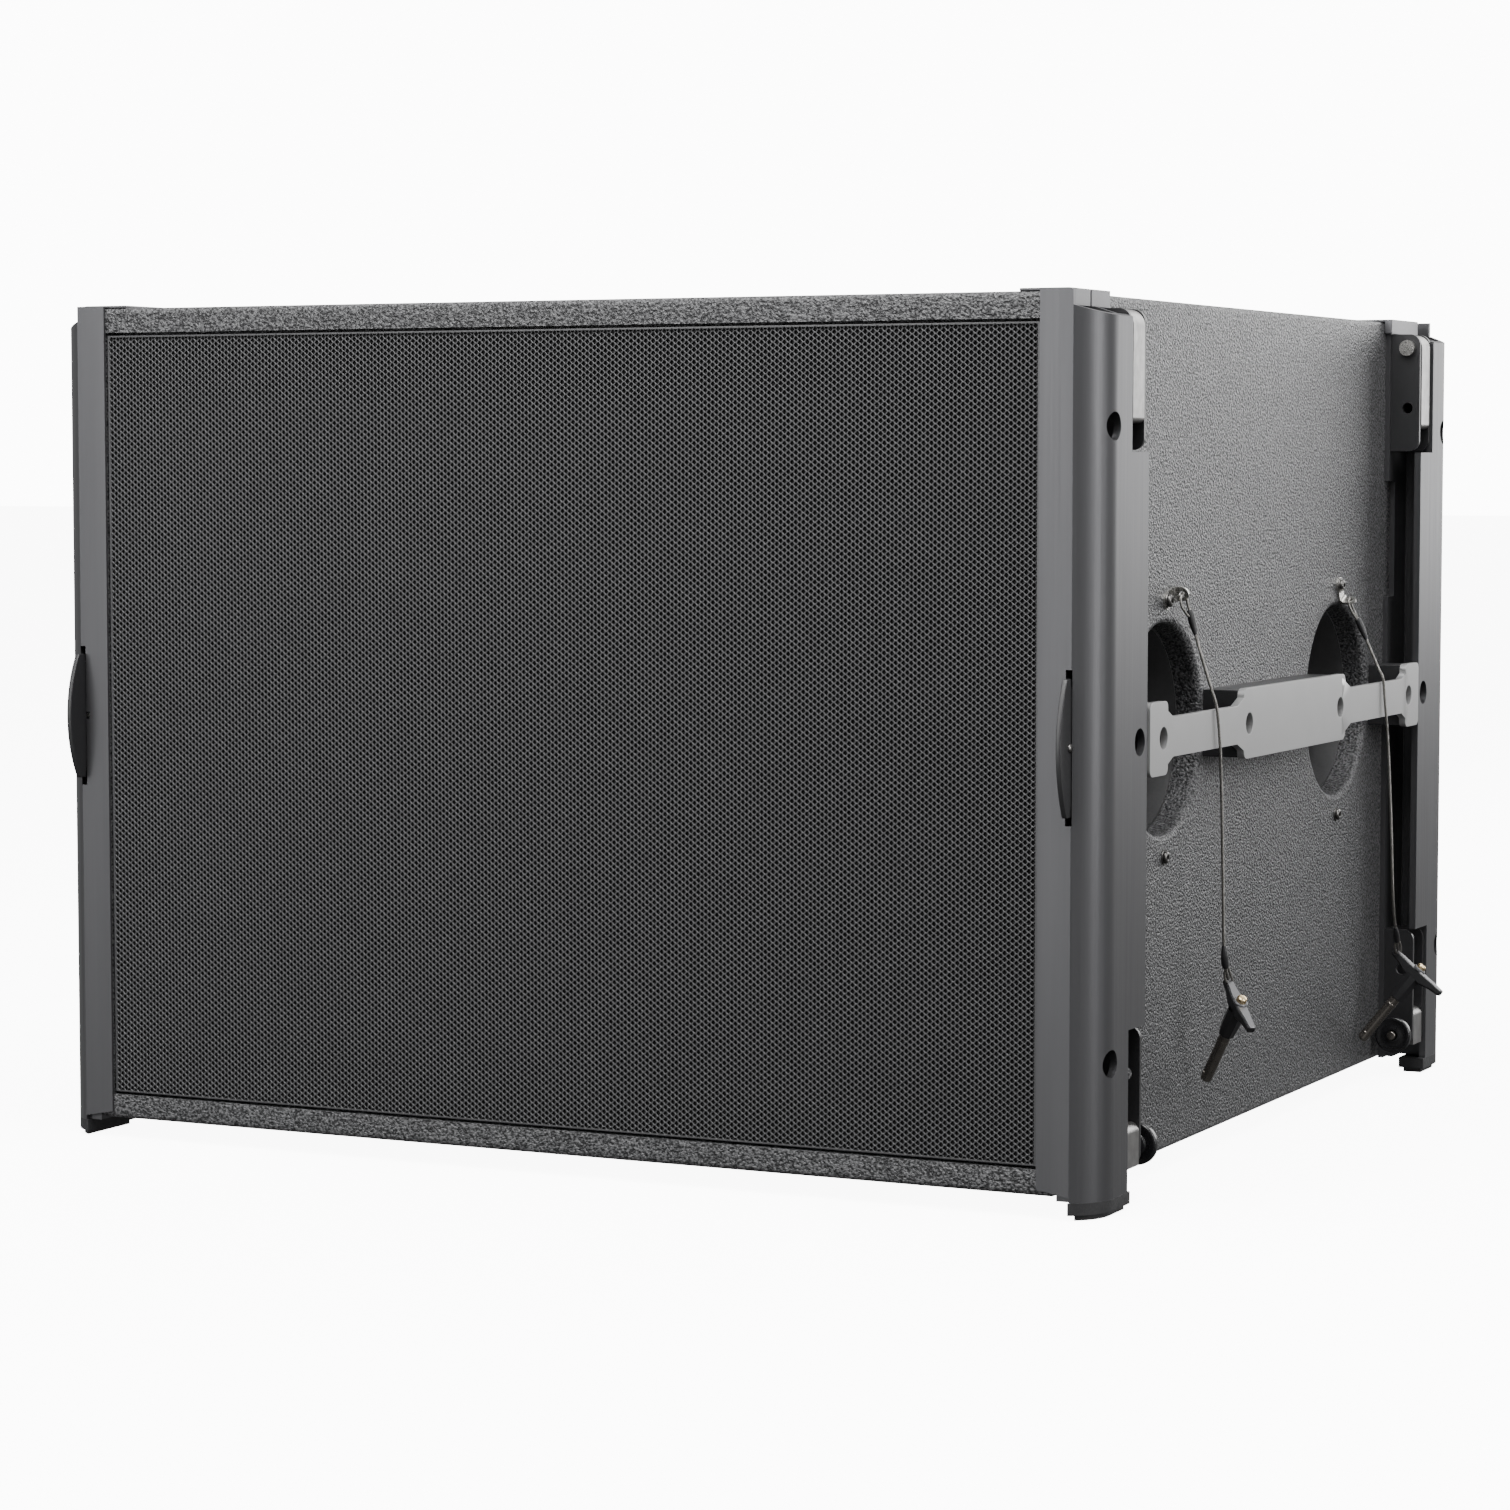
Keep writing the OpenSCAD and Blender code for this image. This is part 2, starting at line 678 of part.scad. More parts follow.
module handle_bar(side) {
    color([0.36, 0.36, 0.38]) on_side(side) translate([bar_u, 0, cab_h / 2]) difference() {
        rotate([90, 0, 90]) linear_extrude(bar_t) bar_outline();
        for (y = [-bolt_out, -bolt_in, bolt_in, bolt_out])
            translate([0, y, 0]) along_x(bar_hole_r, -1, bar_t + 1);
    }
}

module bar_spacers() {
    h = bar_h / 2 - 1;
    color([0.08, 0.08, 0.08]) for (side = [1, -1]) on_side(side) translate([0, 0, cab_h / 2])
        difference() {
            union() {
                block([0, -middle_half + 1, -h], [bar_u, middle_half - 1, h]);
                block([0, -bar_half + 1, -h], [bar_u, -tab_half - 1, h]);
                block([0, tab_half + 1, -h], [bar_u, bar_half - 1, h]);
            }
            for (y = [-bolt_out, -bolt_in, bolt_in, bolt_out]) translate([0, y, 0]) {
                along_x(bar_hole_r, bolt_seat, bar_u + 1);
                along_x(bolt_r, -1, bolt_seat + 1);
            }
        }
}

module bolt(seat) {
    along_x(bolt_r, -ply - nut_t - 0.5, seat + tiny);
    along_x(6.5, seat, seat + 8);
    along_x(nut_r, -ply - nut_t, -ply);
}

module bar_bolts() {
    color("dimgray") for (side = [1, -1]) on_side(side)
        for (y = [-bolt_out, -bolt_in, bolt_in, bolt_out]) translate([0, y, cab_h / 2]) bolt(bolt_seat);
}

module rail_bolts() {
    color("dimgray") for (side = [1, -1], end = [1, -1]) at_corner(side, end) {
        for (z = [access_z, cab_h - access_z]) translate([0, access_v, z]) bolt(web_t);
        translate([0, middle_v, cab_h / 2]) bolt(web_t);
    }
}

module hand_cups(side) {
    color([0.07, 0.07, 0.07]) on_side(side) for (y = [-cup_y, cup_y])
        translate([-ply, y, cab_h / 2]) difference() {
            union() {
                intersection() {
                    along_x(cup_flange_r, -4, 0, $fn = 96);
                    block([-5, -cup_flange_half, -cup_flange_r], [1, cup_flange_half, cup_flange_r]);
                }
                along_x(cup_r + 1, -cup_depth, -1, $fn = 96);
            }
            along_x(cup_r - cup_wall, -cup_depth + cup_wall, 1, $fn = 96);
        }
}

module cup_screws() {
    color("silver") for (side = [1, -1], y = [-cup_y, cup_y], z = [-1, 1])
        on_side(side) translate([0, y, cab_h / 2 + z * screw_r]) {
            base = side > 0 && z > 0 ? lug_t : 0;
            along_x(4.2, base, base + 2.4);
            along_x(2, -ply - 4, base + tiny);
        }
}

// Bent lug under the upper cup screw, which a lanyard loops through
module lanyard_lugs() {
    color("silver") for (lug = [[-cup_y, 20], [cup_y, -65]]) on_side(1)
        translate([0, lug[0], cab_h / 2 + screw_r]) rotate([lug[1], 0, 0]) difference() {
            union() {
                along_x(6, 0, lug_t);
                block([0, 0, -5], [lug_t, 13, 5]);
                block([0, 12, -5], [12, 12 + lug_t, 5]);
            }
            along_x(2, -1, lug_t + 1);
            translate([7.5, 0, 0]) along_y(2.2, 11, 15);
        }
}

// ---------- lanyards ----------

function ahead(p, i) = let (a = p[max(i - 1, 0)], b = p[min(i + 1, len(p) - 1)]) (b - a) / norm(b - a);
function across(t) = let (c = cross([1, 0.001, 0], t)) c / norm(c);
function ring(c, t, r, n) = let (a = across(t), b = cross(t, a))
    [for (k = [0:n - 1]) c + r * (a * cos(360 * k / n) + b * sin(360 * k / n))];

module tube(route, r) {
    n = 8;
    m = len(route);
    points = [for (i = [0:m - 1]) each ring(route[i], ahead(route, i), r, n)];
    walls = [for (i = [0:m - 2], k = [0:n - 1])
        [i * n + k, (i + 1) * n + k, (i + 1) * n + (k + 1) % n, i * n + (k + 1) % n]];
    polyhedron(points, concat([[for (k = [0:n - 1]) k]], walls,
        [[for (k = [n - 1:-1:0]) (m - 1) * n + k]]));
}

module front_lanyard() color([0.3, 0.3, 0.3]) on_side(1) tube(front_route, lanyard_r);
module rear_lanyard() color([0.3, 0.3, 0.3]) on_side(1) tube(rear_route, lanyard_r);

top_panel();
bottom_panel();
side_panel(-1);  // left_side_panel
side_panel(1);  // right_side_panel
back_panel();
front_baffle();
port_walls(-1);  // left_port_walls
port_walls(1);  // right_port_walls
front_grille();
grille_foam();
woofer_basket();
woofer_surround();
woofer_cone();
woofer_dust_cap();
woofer_spider();
woofer_voice_coil();
woofer_top_plate();
woofer_magnet();
woofer_pole_piece();
woofer_screws();
input_plate();
input_sockets();
input_screws();
rail(1, 1);  // front_right_rail
rail(-1, 1);  // front_left_rail
rail(1, -1);  // rear_right_rail
rail(-1, -1);  // rear_left_rail
rail_feet();
top_caps();
clevises(1);  // right_clevises
clevises(-1);  // left_clevises
link(1, 1);  // front_right_link
link(-1, 1);  // front_left_link
link(1, -1);  // rear_right_link
link(-1, -1);  // rear_left_link
link_pivots();
guide_blocks();
low_pin(1, 1);  // front_right_low_pin
low_pin(-1, 1);  // front_left_low_pin
low_pin(1, -1);  // rear_right_low_pin
low_pin(-1, -1);  // rear_left_low_pin
lock_lever(1);  // right_lock_lever
lock_lever(-1);  // left_lock_lever
lever_pivots();
handle_bar(1);  // right_handle_bar
handle_bar(-1);  // left_handle_bar
bar_spacers();
bar_bolts();
rail_bolts();
hand_cups(1);  // right_hand_cups
hand_cups(-1);  // left_hand_cups
cup_screws();
lanyard_lugs();
front_lanyard();
rear_lanyard();
front_tether_pin();
rear_tether_pin();
front_pin_button();
rear_pin_button();
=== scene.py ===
import json
import math

import bmesh
import bpy
import numpy as np
from mathutils import Euler, Matrix, Vector


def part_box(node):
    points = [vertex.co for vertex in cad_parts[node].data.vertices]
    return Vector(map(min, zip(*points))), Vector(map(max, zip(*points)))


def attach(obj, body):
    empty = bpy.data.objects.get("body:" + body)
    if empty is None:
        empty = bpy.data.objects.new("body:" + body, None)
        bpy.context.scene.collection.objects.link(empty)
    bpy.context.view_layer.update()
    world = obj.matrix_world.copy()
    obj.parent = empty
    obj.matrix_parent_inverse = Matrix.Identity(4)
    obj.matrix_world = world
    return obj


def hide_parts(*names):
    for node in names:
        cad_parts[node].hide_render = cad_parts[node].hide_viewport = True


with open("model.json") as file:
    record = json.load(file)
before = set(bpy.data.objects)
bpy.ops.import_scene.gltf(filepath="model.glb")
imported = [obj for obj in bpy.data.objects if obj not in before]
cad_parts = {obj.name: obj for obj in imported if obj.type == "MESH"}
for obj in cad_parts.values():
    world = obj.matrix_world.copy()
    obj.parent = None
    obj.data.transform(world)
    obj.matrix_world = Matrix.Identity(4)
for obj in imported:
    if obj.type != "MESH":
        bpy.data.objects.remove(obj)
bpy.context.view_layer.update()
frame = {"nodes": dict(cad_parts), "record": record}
NODES = frame["nodes"]

# ---------- places, from the frame ----------
# Local sizes are in millimetres. A side frame has u outward from the side panel, y back from
# mid-depth and z up from the cabinet's bottom. A corner frame has v back from the nearest end.
MM = 0.001
TOP_LOW, TOP_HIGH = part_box("top_panel")
HALF_W = TOP_HIGH.x
HALF_D = (TOP_HIGH.y - TOP_LOW.y) / 2
MID_Y = (TOP_HIGH.y + TOP_LOW.y) / 2
BASE_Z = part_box("bottom_panel")[0].z
CAB_W = 2 * HALF_W / MM
CAB_D = 2 * HALF_D / MM
CAB_H = (TOP_HIGH.z - BASE_Z) / MM
PLY = (TOP_HIGH.z - TOP_LOW.z) / MM
CUP_Y = 185
CUP_R = 71
CUP_DEPTH = 40
SCREW_R = 86
CLEVIS_U = 17.5
LOW_PIN = (CLEVIS_U, 81.3, 21)
SIDES = {"right": 1, "left": -1}
ENDS = {"front": 1, "rear": -1}


def cabinet_matrix():
    """Millimetres from the middle of the cabinet's bottom to the row frame."""
    return Matrix.Translation((0, MID_Y, BASE_Z)) @ Matrix.Diagonal((MM, MM, MM, 1))


def side_matrix(side):
    return (Matrix.Translation((side * HALF_W, MID_Y, BASE_Z))
            @ Matrix.Diagonal((side * MM, MM, MM, 1)))


def corner_matrix(side, end):
    return (Matrix.Translation((side * HALF_W, MID_Y - end * HALF_D, BASE_Z))
            @ Matrix.Diagonal((side * MM, end * MM, MM, 1)))


def turn(x, y, z):
    return Euler([math.radians(a) for a in (x, y, z)], "XYZ").to_matrix().to_4x4()


# ---------- camera ----------

def make_camera():
    data = bpy.data.cameras.new("camera")
    data.lens = 97.27
    data.sensor_width = 36
    data.clip_end = 50
    camera = bpy.data.objects.new("camera", data)
    camera.location = (1.3134, -2.7417, 0.4807)
    camera.rotation_euler = (math.radians(85.821), 0, math.radians(26.056))
    bpy.context.scene.collection.objects.link(camera)
    bpy.context.scene.camera = camera


# ---------- materials ----------

class Finish:
    """A Principled material with procedural detail in the piece's own coordinates."""

    def __init__(self, name, base, roughness, metallic=0.0, sheen=0.0):
        self.material = bpy.data.materials.new(name)
        self.material.use_nodes = True
        self.nodes = self.material.node_tree.nodes
        self.links = self.material.node_tree.links
        self.shader = self.nodes["Principled BSDF"]
        self.put("Base Color", (*base, 1))
        self.put("Roughness", roughness)
        self.put("Metallic", metallic)
        self.put("Sheen Weight", sheen)
        self.normal = None
        coordinates = self.nodes.new("ShaderNodeTexCoord")
        self.place = coordinates.outputs["Object"]

    def put(self, socket, value):
        self.shader.inputs[socket].default_value = value

    def stretched(self, stretch):
        mapping = self.nodes.new("ShaderNodeMapping")
        mapping.inputs["Scale"].default_value = stretch
        self.links.new(self.place, mapping.inputs["Vector"])
        return mapping.outputs["Vector"]

    def noise(self, scale, detail=3.0, rough=0.5, stretch=(1, 1, 1)):
        texture = self.nodes.new("ShaderNodeTexNoise")
        texture.inputs["Scale"].default_value = scale
        texture.inputs["Detail"].default_value = detail
        texture.inputs["Roughness"].default_value = rough
        self.links.new(self.stretched(stretch), texture.inputs["Vector"])
        return texture.outputs["Fac"]

    def cells(self, scale):
        texture = self.nodes.new("ShaderNodeTexVoronoi")
        texture.inputs["Scale"].default_value = scale
        self.links.new(self.place, texture.inputs["Vector"])
        return texture.outputs["Distance"]

    def waves(self, scale, distortion, stretch=(1, 1, 1), direction="Z"):
        texture = self.nodes.new("ShaderNodeTexWave")
        texture.bands_direction = direction
        texture.inputs["Scale"].default_value = scale
        texture.inputs["Distortion"].default_value = distortion
        self.links.new(self.stretched(stretch), texture.inputs["Vector"])
        return texture.outputs["Fac"]

    def ramp(self, source, stops):
        """Colour stops as (position, colour) pairs."""
        node = self.nodes.new("ShaderNodeValToRGB")
        elements = node.color_ramp.elements
        while len(elements) < len(stops):
            elements.new(0.5)
        for element, (position, colour) in zip(elements, stops):
            element.position = position
            element.color = (*colour, 1)
        self.links.new(source, node.inputs["Fac"])
        return node.outputs["Color"]

    def tint(self, source, low, dark, high, light):
        colour = self.ramp(source, [(low, dark), (high, light)])
        self.links.new(colour, self.shader.inputs["Base Color"])
        return self

    def vary(self, socket, source, low, high):
        spread = self.nodes.new("ShaderNodeMapRange")
        spread.inputs["From Min"].default_value = 0.3
        spread.inputs["From Max"].default_value = 0.7
        spread.inputs["To Min"].default_value = low
        spread.inputs["To Max"].default_value = high
        self.links.new(source, spread.inputs["Value"])
        self.links.new(spread.outputs["Result"], self.shader.inputs[socket])
        return self

    def bump(self, source, strength, depth):
        """depth is in metres"""
        node = self.nodes.new("ShaderNodeBump")
        node.inputs["Strength"].default_value = strength
        node.inputs["Distance"].default_value = depth
        self.links.new(source, node.inputs["Height"])
        if self.normal:
            self.links.new(self.normal, node.inputs["Normal"])
        self.normal = node.outputs["Normal"]
        self.links.new(self.normal, self.shader.inputs["Normal"])
        return self


def spatter_paint():
    """Hard textured paint: close grains, about 2 mm apart, smoother on their crowns, with a painted
    highlight that makes the crowns lighter.
    """
    f = Finish("spatter_paint", (0.04, 0.04, 0.042), 0.5)
    grain = f.noise(560, 2.0, 0.5)
    # Painted highlight: the raised crowns of the grains are tinted lighter, standing in for light catching
    # them
    f.tint(grain, 0.4, (0.01, 0.01, 0.011), 0.64, (0.115, 0.115, 0.118))
    f.vary("Roughness", grain, 0.55, 0.26)
    f.bump(grain, 1.0, 0.002)
    f.bump(f.noise(9, 2.0), 0.15, 0.002)
    return f.material


def drawn_aluminium():
    """Dark anodised extrusion, with faint die lines along its length."""
    f = Finish("drawn_aluminium", (0.085, 0.085, 0.089), 0.36, metallic=0.8)
    lines = f.noise(900, 2.0, 0.6, (1, 1, 0.006))
    f.tint(f.noise(60, 3.0, 0.5, (1, 1, 0.05)), 0.3, (0.08, 0.08, 0.084), 0.7,
           (0.092, 0.092, 0.096))
    f.vary("Roughness", lines, 0.38, 0.46)
    f.bump(lines, 0.12, 0.0002)
    return f.material


def powder_coat(name, base, roughness, metallic=0.0, cloud=0.05, peel=0.12):
    """Baked paint; cloud is how much its shade varies, and peel how far its skin is dimpled."""
    f = Finish(name, base, roughness, metallic)
    orange_peel = f.noise(700, 2.0, 0.5)
    dark = [c * (1 - cloud) for c in base]
    light = [c * (1 + cloud) for c in base]
    f.tint(f.noise(45, 4.0), 0.3, dark, 0.7, light)
    f.vary("Roughness", orange_peel, roughness - 0.2 * peel, roughness + 0.2 * peel)
    f.bump(orange_peel, peel, 0.0002)
    return f.material


def rolled_steel(name, base, roughness, stretch=(1, 1, 1)):
    """Plated steel with fine rolling marks and slight clouding."""
    f = Finish(name, base, roughness, metallic=1.0)
    marks = f.noise(1500, 2.0, 0.6, stretch)
    dark = [c * 0.75 for c in base]
    f.tint(f.noise(150, 3.0), 0.3, dark, 0.65, base)
    f.vary("Roughness", marks, roughness - 0.06, roughness + 0.1)
    f.bump(marks, 0.2, 0.0002)
    return f.material


def moulded(name, base, roughness, grain=900):
    f = Finish(name, base, roughness)
    texture = f.noise(grain, 2.0, 0.5)
    f.tint(f.noise(30, 3.0), 0.3, [c * 0.8 for c in base], 0.7, [c * 1.2 for c in base])
    f.vary("Roughness", texture, roughness - 0.06, roughness + 0.08)
    f.bump(texture, 0.3, 0.0003)
    return f.material


def foam_sheet():
    f = Finish("foam_sheet", (0.006, 0.006, 0.006), 0.95)
    pores = f.cells(700)
    f.tint(pores, 0.05, (0.003, 0.003, 0.003), 0.6, (0.012, 0.012, 0.012))
    f.bump(pores, 1.0, 0.002)
    return f.material


def plywood():
    f = Finish("plywood", (0.45, 0.32, 0.18), 0.7)
    grain = f.waves(3.5, 6.0, (1, 0.08, 1), "X")
    f.tint(grain, 0.2, (0.36, 0.24, 0.12), 0.85, (0.52, 0.39, 0.23))
    f.bump(f.noise(500, 3.0, 0.5, (1, 0.05, 1)), 0.3, 0.0004)
    return f.material


def pressed_paper():
    f = Finish("pressed_paper", (0.03, 0.03, 0.031), 0.85)
    fibres = f.noise(900, 5.0, 0.7, (1, 0.3, 1))
    f.tint(fibres, 0.3, (0.018, 0.018, 0.018), 0.75, (0.05, 0.05, 0.05))
    f.bump(fibres, 0.5, 0.0005)
    return f.material


def dipped_cloth():
    f = Finish("dipped_cloth", (0.5, 0.36, 0.12), 0.7, sheen=0.2)
    weave = f.waves(380, 0.5, (1, 1, 1), "X")
    f.tint(weave, 0.1, (0.36, 0.24, 0.07), 0.9, (0.58, 0.42, 0.16))
    f.bump(weave, 0.5, 0.0004)
    return f.material


def copper_winding():
    f = Finish("copper_winding", (0.72, 0.32, 0.14), 0.3, metallic=1.0)
    turns = f.waves(420, 0.0, (1, 1, 1), "Y")
    f.tint(turns, 0.1, (0.4, 0.16, 0.06), 0.7, (0.8, 0.4, 0.18))
    f.bump(turns, 0.8, 0.0004)
    return f.material


def sintered_ferrite():
    f = Finish("sintered_ferrite", (0.04, 0.04, 0.042), 0.6, metallic=0.3)
    grit = f.noise(1100, 4.0, 0.7)
    f.tint(grit, 0.3, (0.028, 0.028, 0.03), 0.7, (0.06, 0.06, 0.063))
    f.bump(grit, 0.35, 0.0004)
    return f.material


def soft_rubber(name):
    f = Finish(name, (0.014, 0.014, 0.015), 0.62)
    skin = f.noise(650, 3.0, 0.6)
    f.tint(f.noise(40, 4.0), 0.3, (0.009, 0.009, 0.01), 0.7, (0.018, 0.018, 0.019))
    f.vary("Roughness", skin, 0.52, 0.72)
    f.bump(skin, 0.35, 0.0004)
    return f.material


def polished_brass():
    f = Finish("polished_brass", (0.78, 0.6, 0.33), 0.24, metallic=1.0)
    worn = f.noise(600, 3.0)
    f.tint(worn, 0.3, (0.62, 0.46, 0.24), 0.7, (0.85, 0.7, 0.45))
    f.vary("Roughness", worn, 0.18, 0.34)
    return f.material


def twisted_wire():
    f = Finish("twisted_wire", (0.22, 0.21, 0.2), 0.35, metallic=0.9)
    soot = f.noise(1400, 3.0)
    f.tint(soot, 0.3, (0.12, 0.115, 0.11), 0.7, (0.33, 0.32, 0.3))
    f.vary("Roughness", soot, 0.28, 0.48)
    return f.material


def make_materials():
    return {
        "cabinet_coat": spatter_paint(),
        "bare_ply": plywood(),
        "grille_steel": powder_coat("grille_coat", (0.042, 0.042, 0.044), 0.42),
        "foam": foam_sheet(),
        "cast_frame": powder_coat("cast_coat", (0.03, 0.03, 0.03), 0.5),
        "surround_rubber": soft_rubber("surround_rubber"),
        "cone_paper": pressed_paper(),
        "spider_cloth": dipped_cloth(),
        "coil_former": copper_winding(),
        "plate_steel": rolled_steel("plate_steel", (0.5, 0.5, 0.5), 0.35),
        "magnet_ferrite": sintered_ferrite(),
        "zinc_steel": rolled_steel("zinc_steel", (0.66, 0.65, 0.62), 0.26),
        "black_steel": powder_coat("black_coat", (0.014, 0.014, 0.015), 0.42),
        "rail_aluminium": drawn_aluminium(),
        "cap_aluminium": powder_coat("cap_coat", (0.1, 0.1, 0.105), 0.42, 0.5),
        "foot_rubber": soft_rubber("foot_rubber"),
        "link_steel": rolled_steel("link_steel", (0.3, 0.295, 0.29), 0.38, (1, 1, 0.05)),
        "bar_steel": powder_coat("bar_coat", (0.37, 0.37, 0.37), 0.3, 0.5, 0.02, 0),
        "spacer_plastic": moulded("spacer_plastic", (0.014, 0.014, 0.015), 0.45),
        "cup_plastic": moulded("cup_plastic", (0.04, 0.04, 0.041), 0.5, 500),
        "socket_plastic": moulded("socket_plastic", (0.015, 0.015, 0.016), 0.4),
        "bolt_black": powder_coat("bolt_black", (0.008, 0.008, 0.008), 0.5),
        "lanyard_wire": twisted_wire(),
        "pin_metal": rolled_steel("pin_shaft", (0.24, 0.22, 0.2), 0.22, (1, 1, 0.1)),
        "button_brass": polished_brass(),
        "handle_cast": powder_coat("handle_cast", (0.13, 0.13, 0.135), 0.36, 0.4),
        "knob_black": moulded("knob_black", (0.008, 0.008, 0.009), 0.2, 1200),
        "screw_zinc": rolled_steel("screw_zinc", (0.16, 0.155, 0.15), 0.28),
        "sleeve_black": moulded("sleeve_black", (0.01, 0.01, 0.011), 0.42, 700),
    }


# ---------- mesh helpers ----------

def piece(name, verts, faces, matrix, material, slot, body="root", replaces=(), smooth=35):
    """A mesh piece from local millimetres, placed by matrix, riding on body."""
    mesh = bpy.data.meshes.new(name)
    mesh.from_pydata([tuple(v) for v in verts], [], [tuple(f) for f in faces])
    mesh.transform(matrix)
    if matrix.determinant() < 0:
        mesh.flip_normals()
    mesh.materials.append(material)
    return settle(name, mesh, body, replaces, smooth)


def settle(name, mesh, body="root", replaces=(), smooth=35):
    thing = bpy.data.objects.new(name, mesh)
    bpy.context.scene.collection.objects.link(thing)
    soften(thing, smooth)
    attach(thing, body)
    if replaces:
        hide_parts(*replaces)
    return thing


def soften(thing, angle):
    """Smooth shading, with edges sharper than the angle kept sharp."""
    mesh = thing.data
    mesh.polygons.foreach_set("use_smooth", [True] * len(mesh.polygons))
    work = bmesh.new()
    work.from_mesh(mesh)
    limit = math.radians(angle)
    for edge in work.edges:
        edge.smooth = len(edge.link_faces) == 2 and edge.calc_face_angle(0) < limit
    work.to_mesh(mesh)
    work.free()


def joined(parts):
    """One (verts, faces) from several."""
    verts, faces = [], []
    for v, f in parts:
        start = len(verts)
        verts += [Vector(p) for p in v]
        faces += [[i + start for i in face] for face in f]
    return verts, faces


def moved(part, matrix):
    verts, faces = part
    if matrix.determinant() < 0:
        faces = [list(reversed(f)) for f in faces]
    return [matrix @ Vector(v) for v in verts], faces


def lathe(profile, count=48):
    """Turns (radius, height) points about Z. A radius of 0 closes an end."""
    verts, faces, rings = [], [], []
    for r, z in profile:
        if r <= 1e-6:
            rings.append([len(verts)])
            verts.append((0, 0, z))
        else:
            rings.append(list(range(len(verts), len(verts) + count)))
            verts += [(r * math.cos(2 * math.pi * k / count), r * math.sin(2 * math.pi * k / count), z)
                      for k in range(count)]
    for a, b in zip(rings, rings[1:]):
        for k in range(count):
            n = (k + 1) % count
            if len(a) == 1:
                faces.append([a[0], b[n], b[k]])
            elif len(b) == 1:
                faces.append([a[k], a[n], b[0]])
            else:
                faces.append([a[k], a[n], b[n], b[k]])
    return verts, faces


def arc(cx, cy, r, start, stop, steps):
    """Points on an arc, in degrees."""
    return [(cx + r * math.cos(math.radians(start + (stop - start) * k / steps)),
             cy + r * math.sin(math.radians(start + (stop - start) * k / steps)))
            for k in range(steps + 1)]


def loft(sections):
    """Joins equal rings of points and caps both ends."""
    verts = [p for s in sections for p in s]
    n = len(sections[0])
    faces = [[i * n + k, i * n + (k + 1) % n, (i + 1) * n + (k + 1) % n, (i + 1) * n + k]
             for i in range(len(sections) - 1) for k in range(n)]
    faces.append(list(reversed(range(n))))
    faces.append([(len(sections) - 1) * n + k for k in range(n)])
    return verts, faces


def facing(part):
    """The same part with its faces turned outward."""
    work = bmesh.new()
    points = [work.verts.new(v) for v in part[0]]
    for face in part[1]:
        work.faces.new([points[i] for i in face])
    bmesh.ops.recalc_face_normals(work, faces=work.faces)
    work.verts.index_update()
    result = [v.co.copy() for v in work.verts], [[v.index for v in f.verts] for f in work.faces]
    work.free()
    return result


# ---------- lanyards ----------

# Outward, back from mid-depth and up, in millimetres
FRONT_ROUTE = [
    (7.5, -174.5, 374.9), (7.6, -171.5, 375.9), (8.3, -169.4, 374), (9.6, -169, 369),
    (12, -169.5, 361), (15, -170.5, 351.5), (18.5, -171.5, 340.5), (22.5, -172, 328.5),
    (26.3, -172, 317), (29.3, -171.5, 307.5), (31.2, -170.3, 299.5), (31.8, -168.5, 290),
    (32, -166, 277), (32, -163.5, 260), (32, -161.5, 240), (32, -160, 220), (32, -158.5, 200),
    (32, -157.3, 180), (32, -156.2, 160), (32, -155, 143), (32.2, -153.3, 129.5),
    (32.3, -149.6, 119.5), (32.2, -145.2, 113.8)]
REAR_ROUTE = [
    (7.5, 189.7, 360.9), (7.6, 191.1, 357.9), (9, 192.2, 353.5), (12, 194, 346),
    (15.5, 195.6, 337.5), (19.5, 197, 327.5), (23.5, 198, 318), (27.3, 198.6, 309),
    (30.8, 199, 302), (31.6, 199.6, 295), (32, 201, 285), (32.6, 203.5, 270), (33.4, 205.5, 252),
    (34.3, 206.4, 232), (35.2, 206.8, 212), (36, 207, 192), (36.7, 207.5, 172), (36.8, 209, 153),
    (36.4, 212.8, 135.6), (35.6, 219, 120), (34.4, 227.5, 107.8), (32.8, 236.2, 98.6),
    (31.6, 242.6, 91.4)]
WIRE_R = 1.1
STRANDS = 6
STRAND_R = 0.38
LAY_PITCH = 13
FRONT_PIN = ((32.3, -148.6, 77.6), (-7.7, 33.3, -47.9))
REAR_PIN = ((32.7, 236, 56.1), (-17.7, 34.6, -16.2))


def catmull(points, step=1.0):
    """A smooth line through the points, with a point about every step."""
    p = [Vector(q) for q in points]
    p = [2 * p[0] - p[1], *p, 2 * p[-1] - p[-2]]
    line = []
    for i in range(1, len(p) - 2):
        count = max(1, round((p[i + 1] - p[i]).length / step))
        for k in range(count):
            t = k / count
            a, b, c, d = p[i - 1], p[i], p[i + 1], p[i + 2]
            line.append(0.5 * (2 * b + (c - a) * t + (2 * a - 5 * b + 4 * c - d) * t * t
                               + (3 * b - a - 3 * c + d) * t ** 3))
    line.append(p[-2])
    return line


def frames_along(line):
    """Two unit vectors across the line at each point, carried along without twist."""
    across = Vector((0, 0, 1)).cross(line[1] - line[0])
    if across.length < 1e-6:
        across = Vector((1, 0, 0))
    across.normalize()
    result = []
    for i in range(len(line)):
        ahead = (line[min(i + 1, len(line) - 1)] - line[max(i - 1, 0)]).normalized()
        across = (across - ahead * across.dot(ahead)).normalized()
        result.append((across, ahead.cross(across)))
    return result


def sweep(line, radii, sides):
    """A round tube along the line; radii is one number or one for each point."""
    across = frames_along(line)
    sections = []
    for i, point in enumerate(line):
        r = radii if isinstance(radii, (int, float)) else radii[i]
        a, b = across[i]
        sections.append([point + r * (a * math.cos(2 * math.pi * k / sides)
                                      + b * math.sin(2 * math.pi * k / sides)) for k in range(sides)])
    return facing(loft(sections))


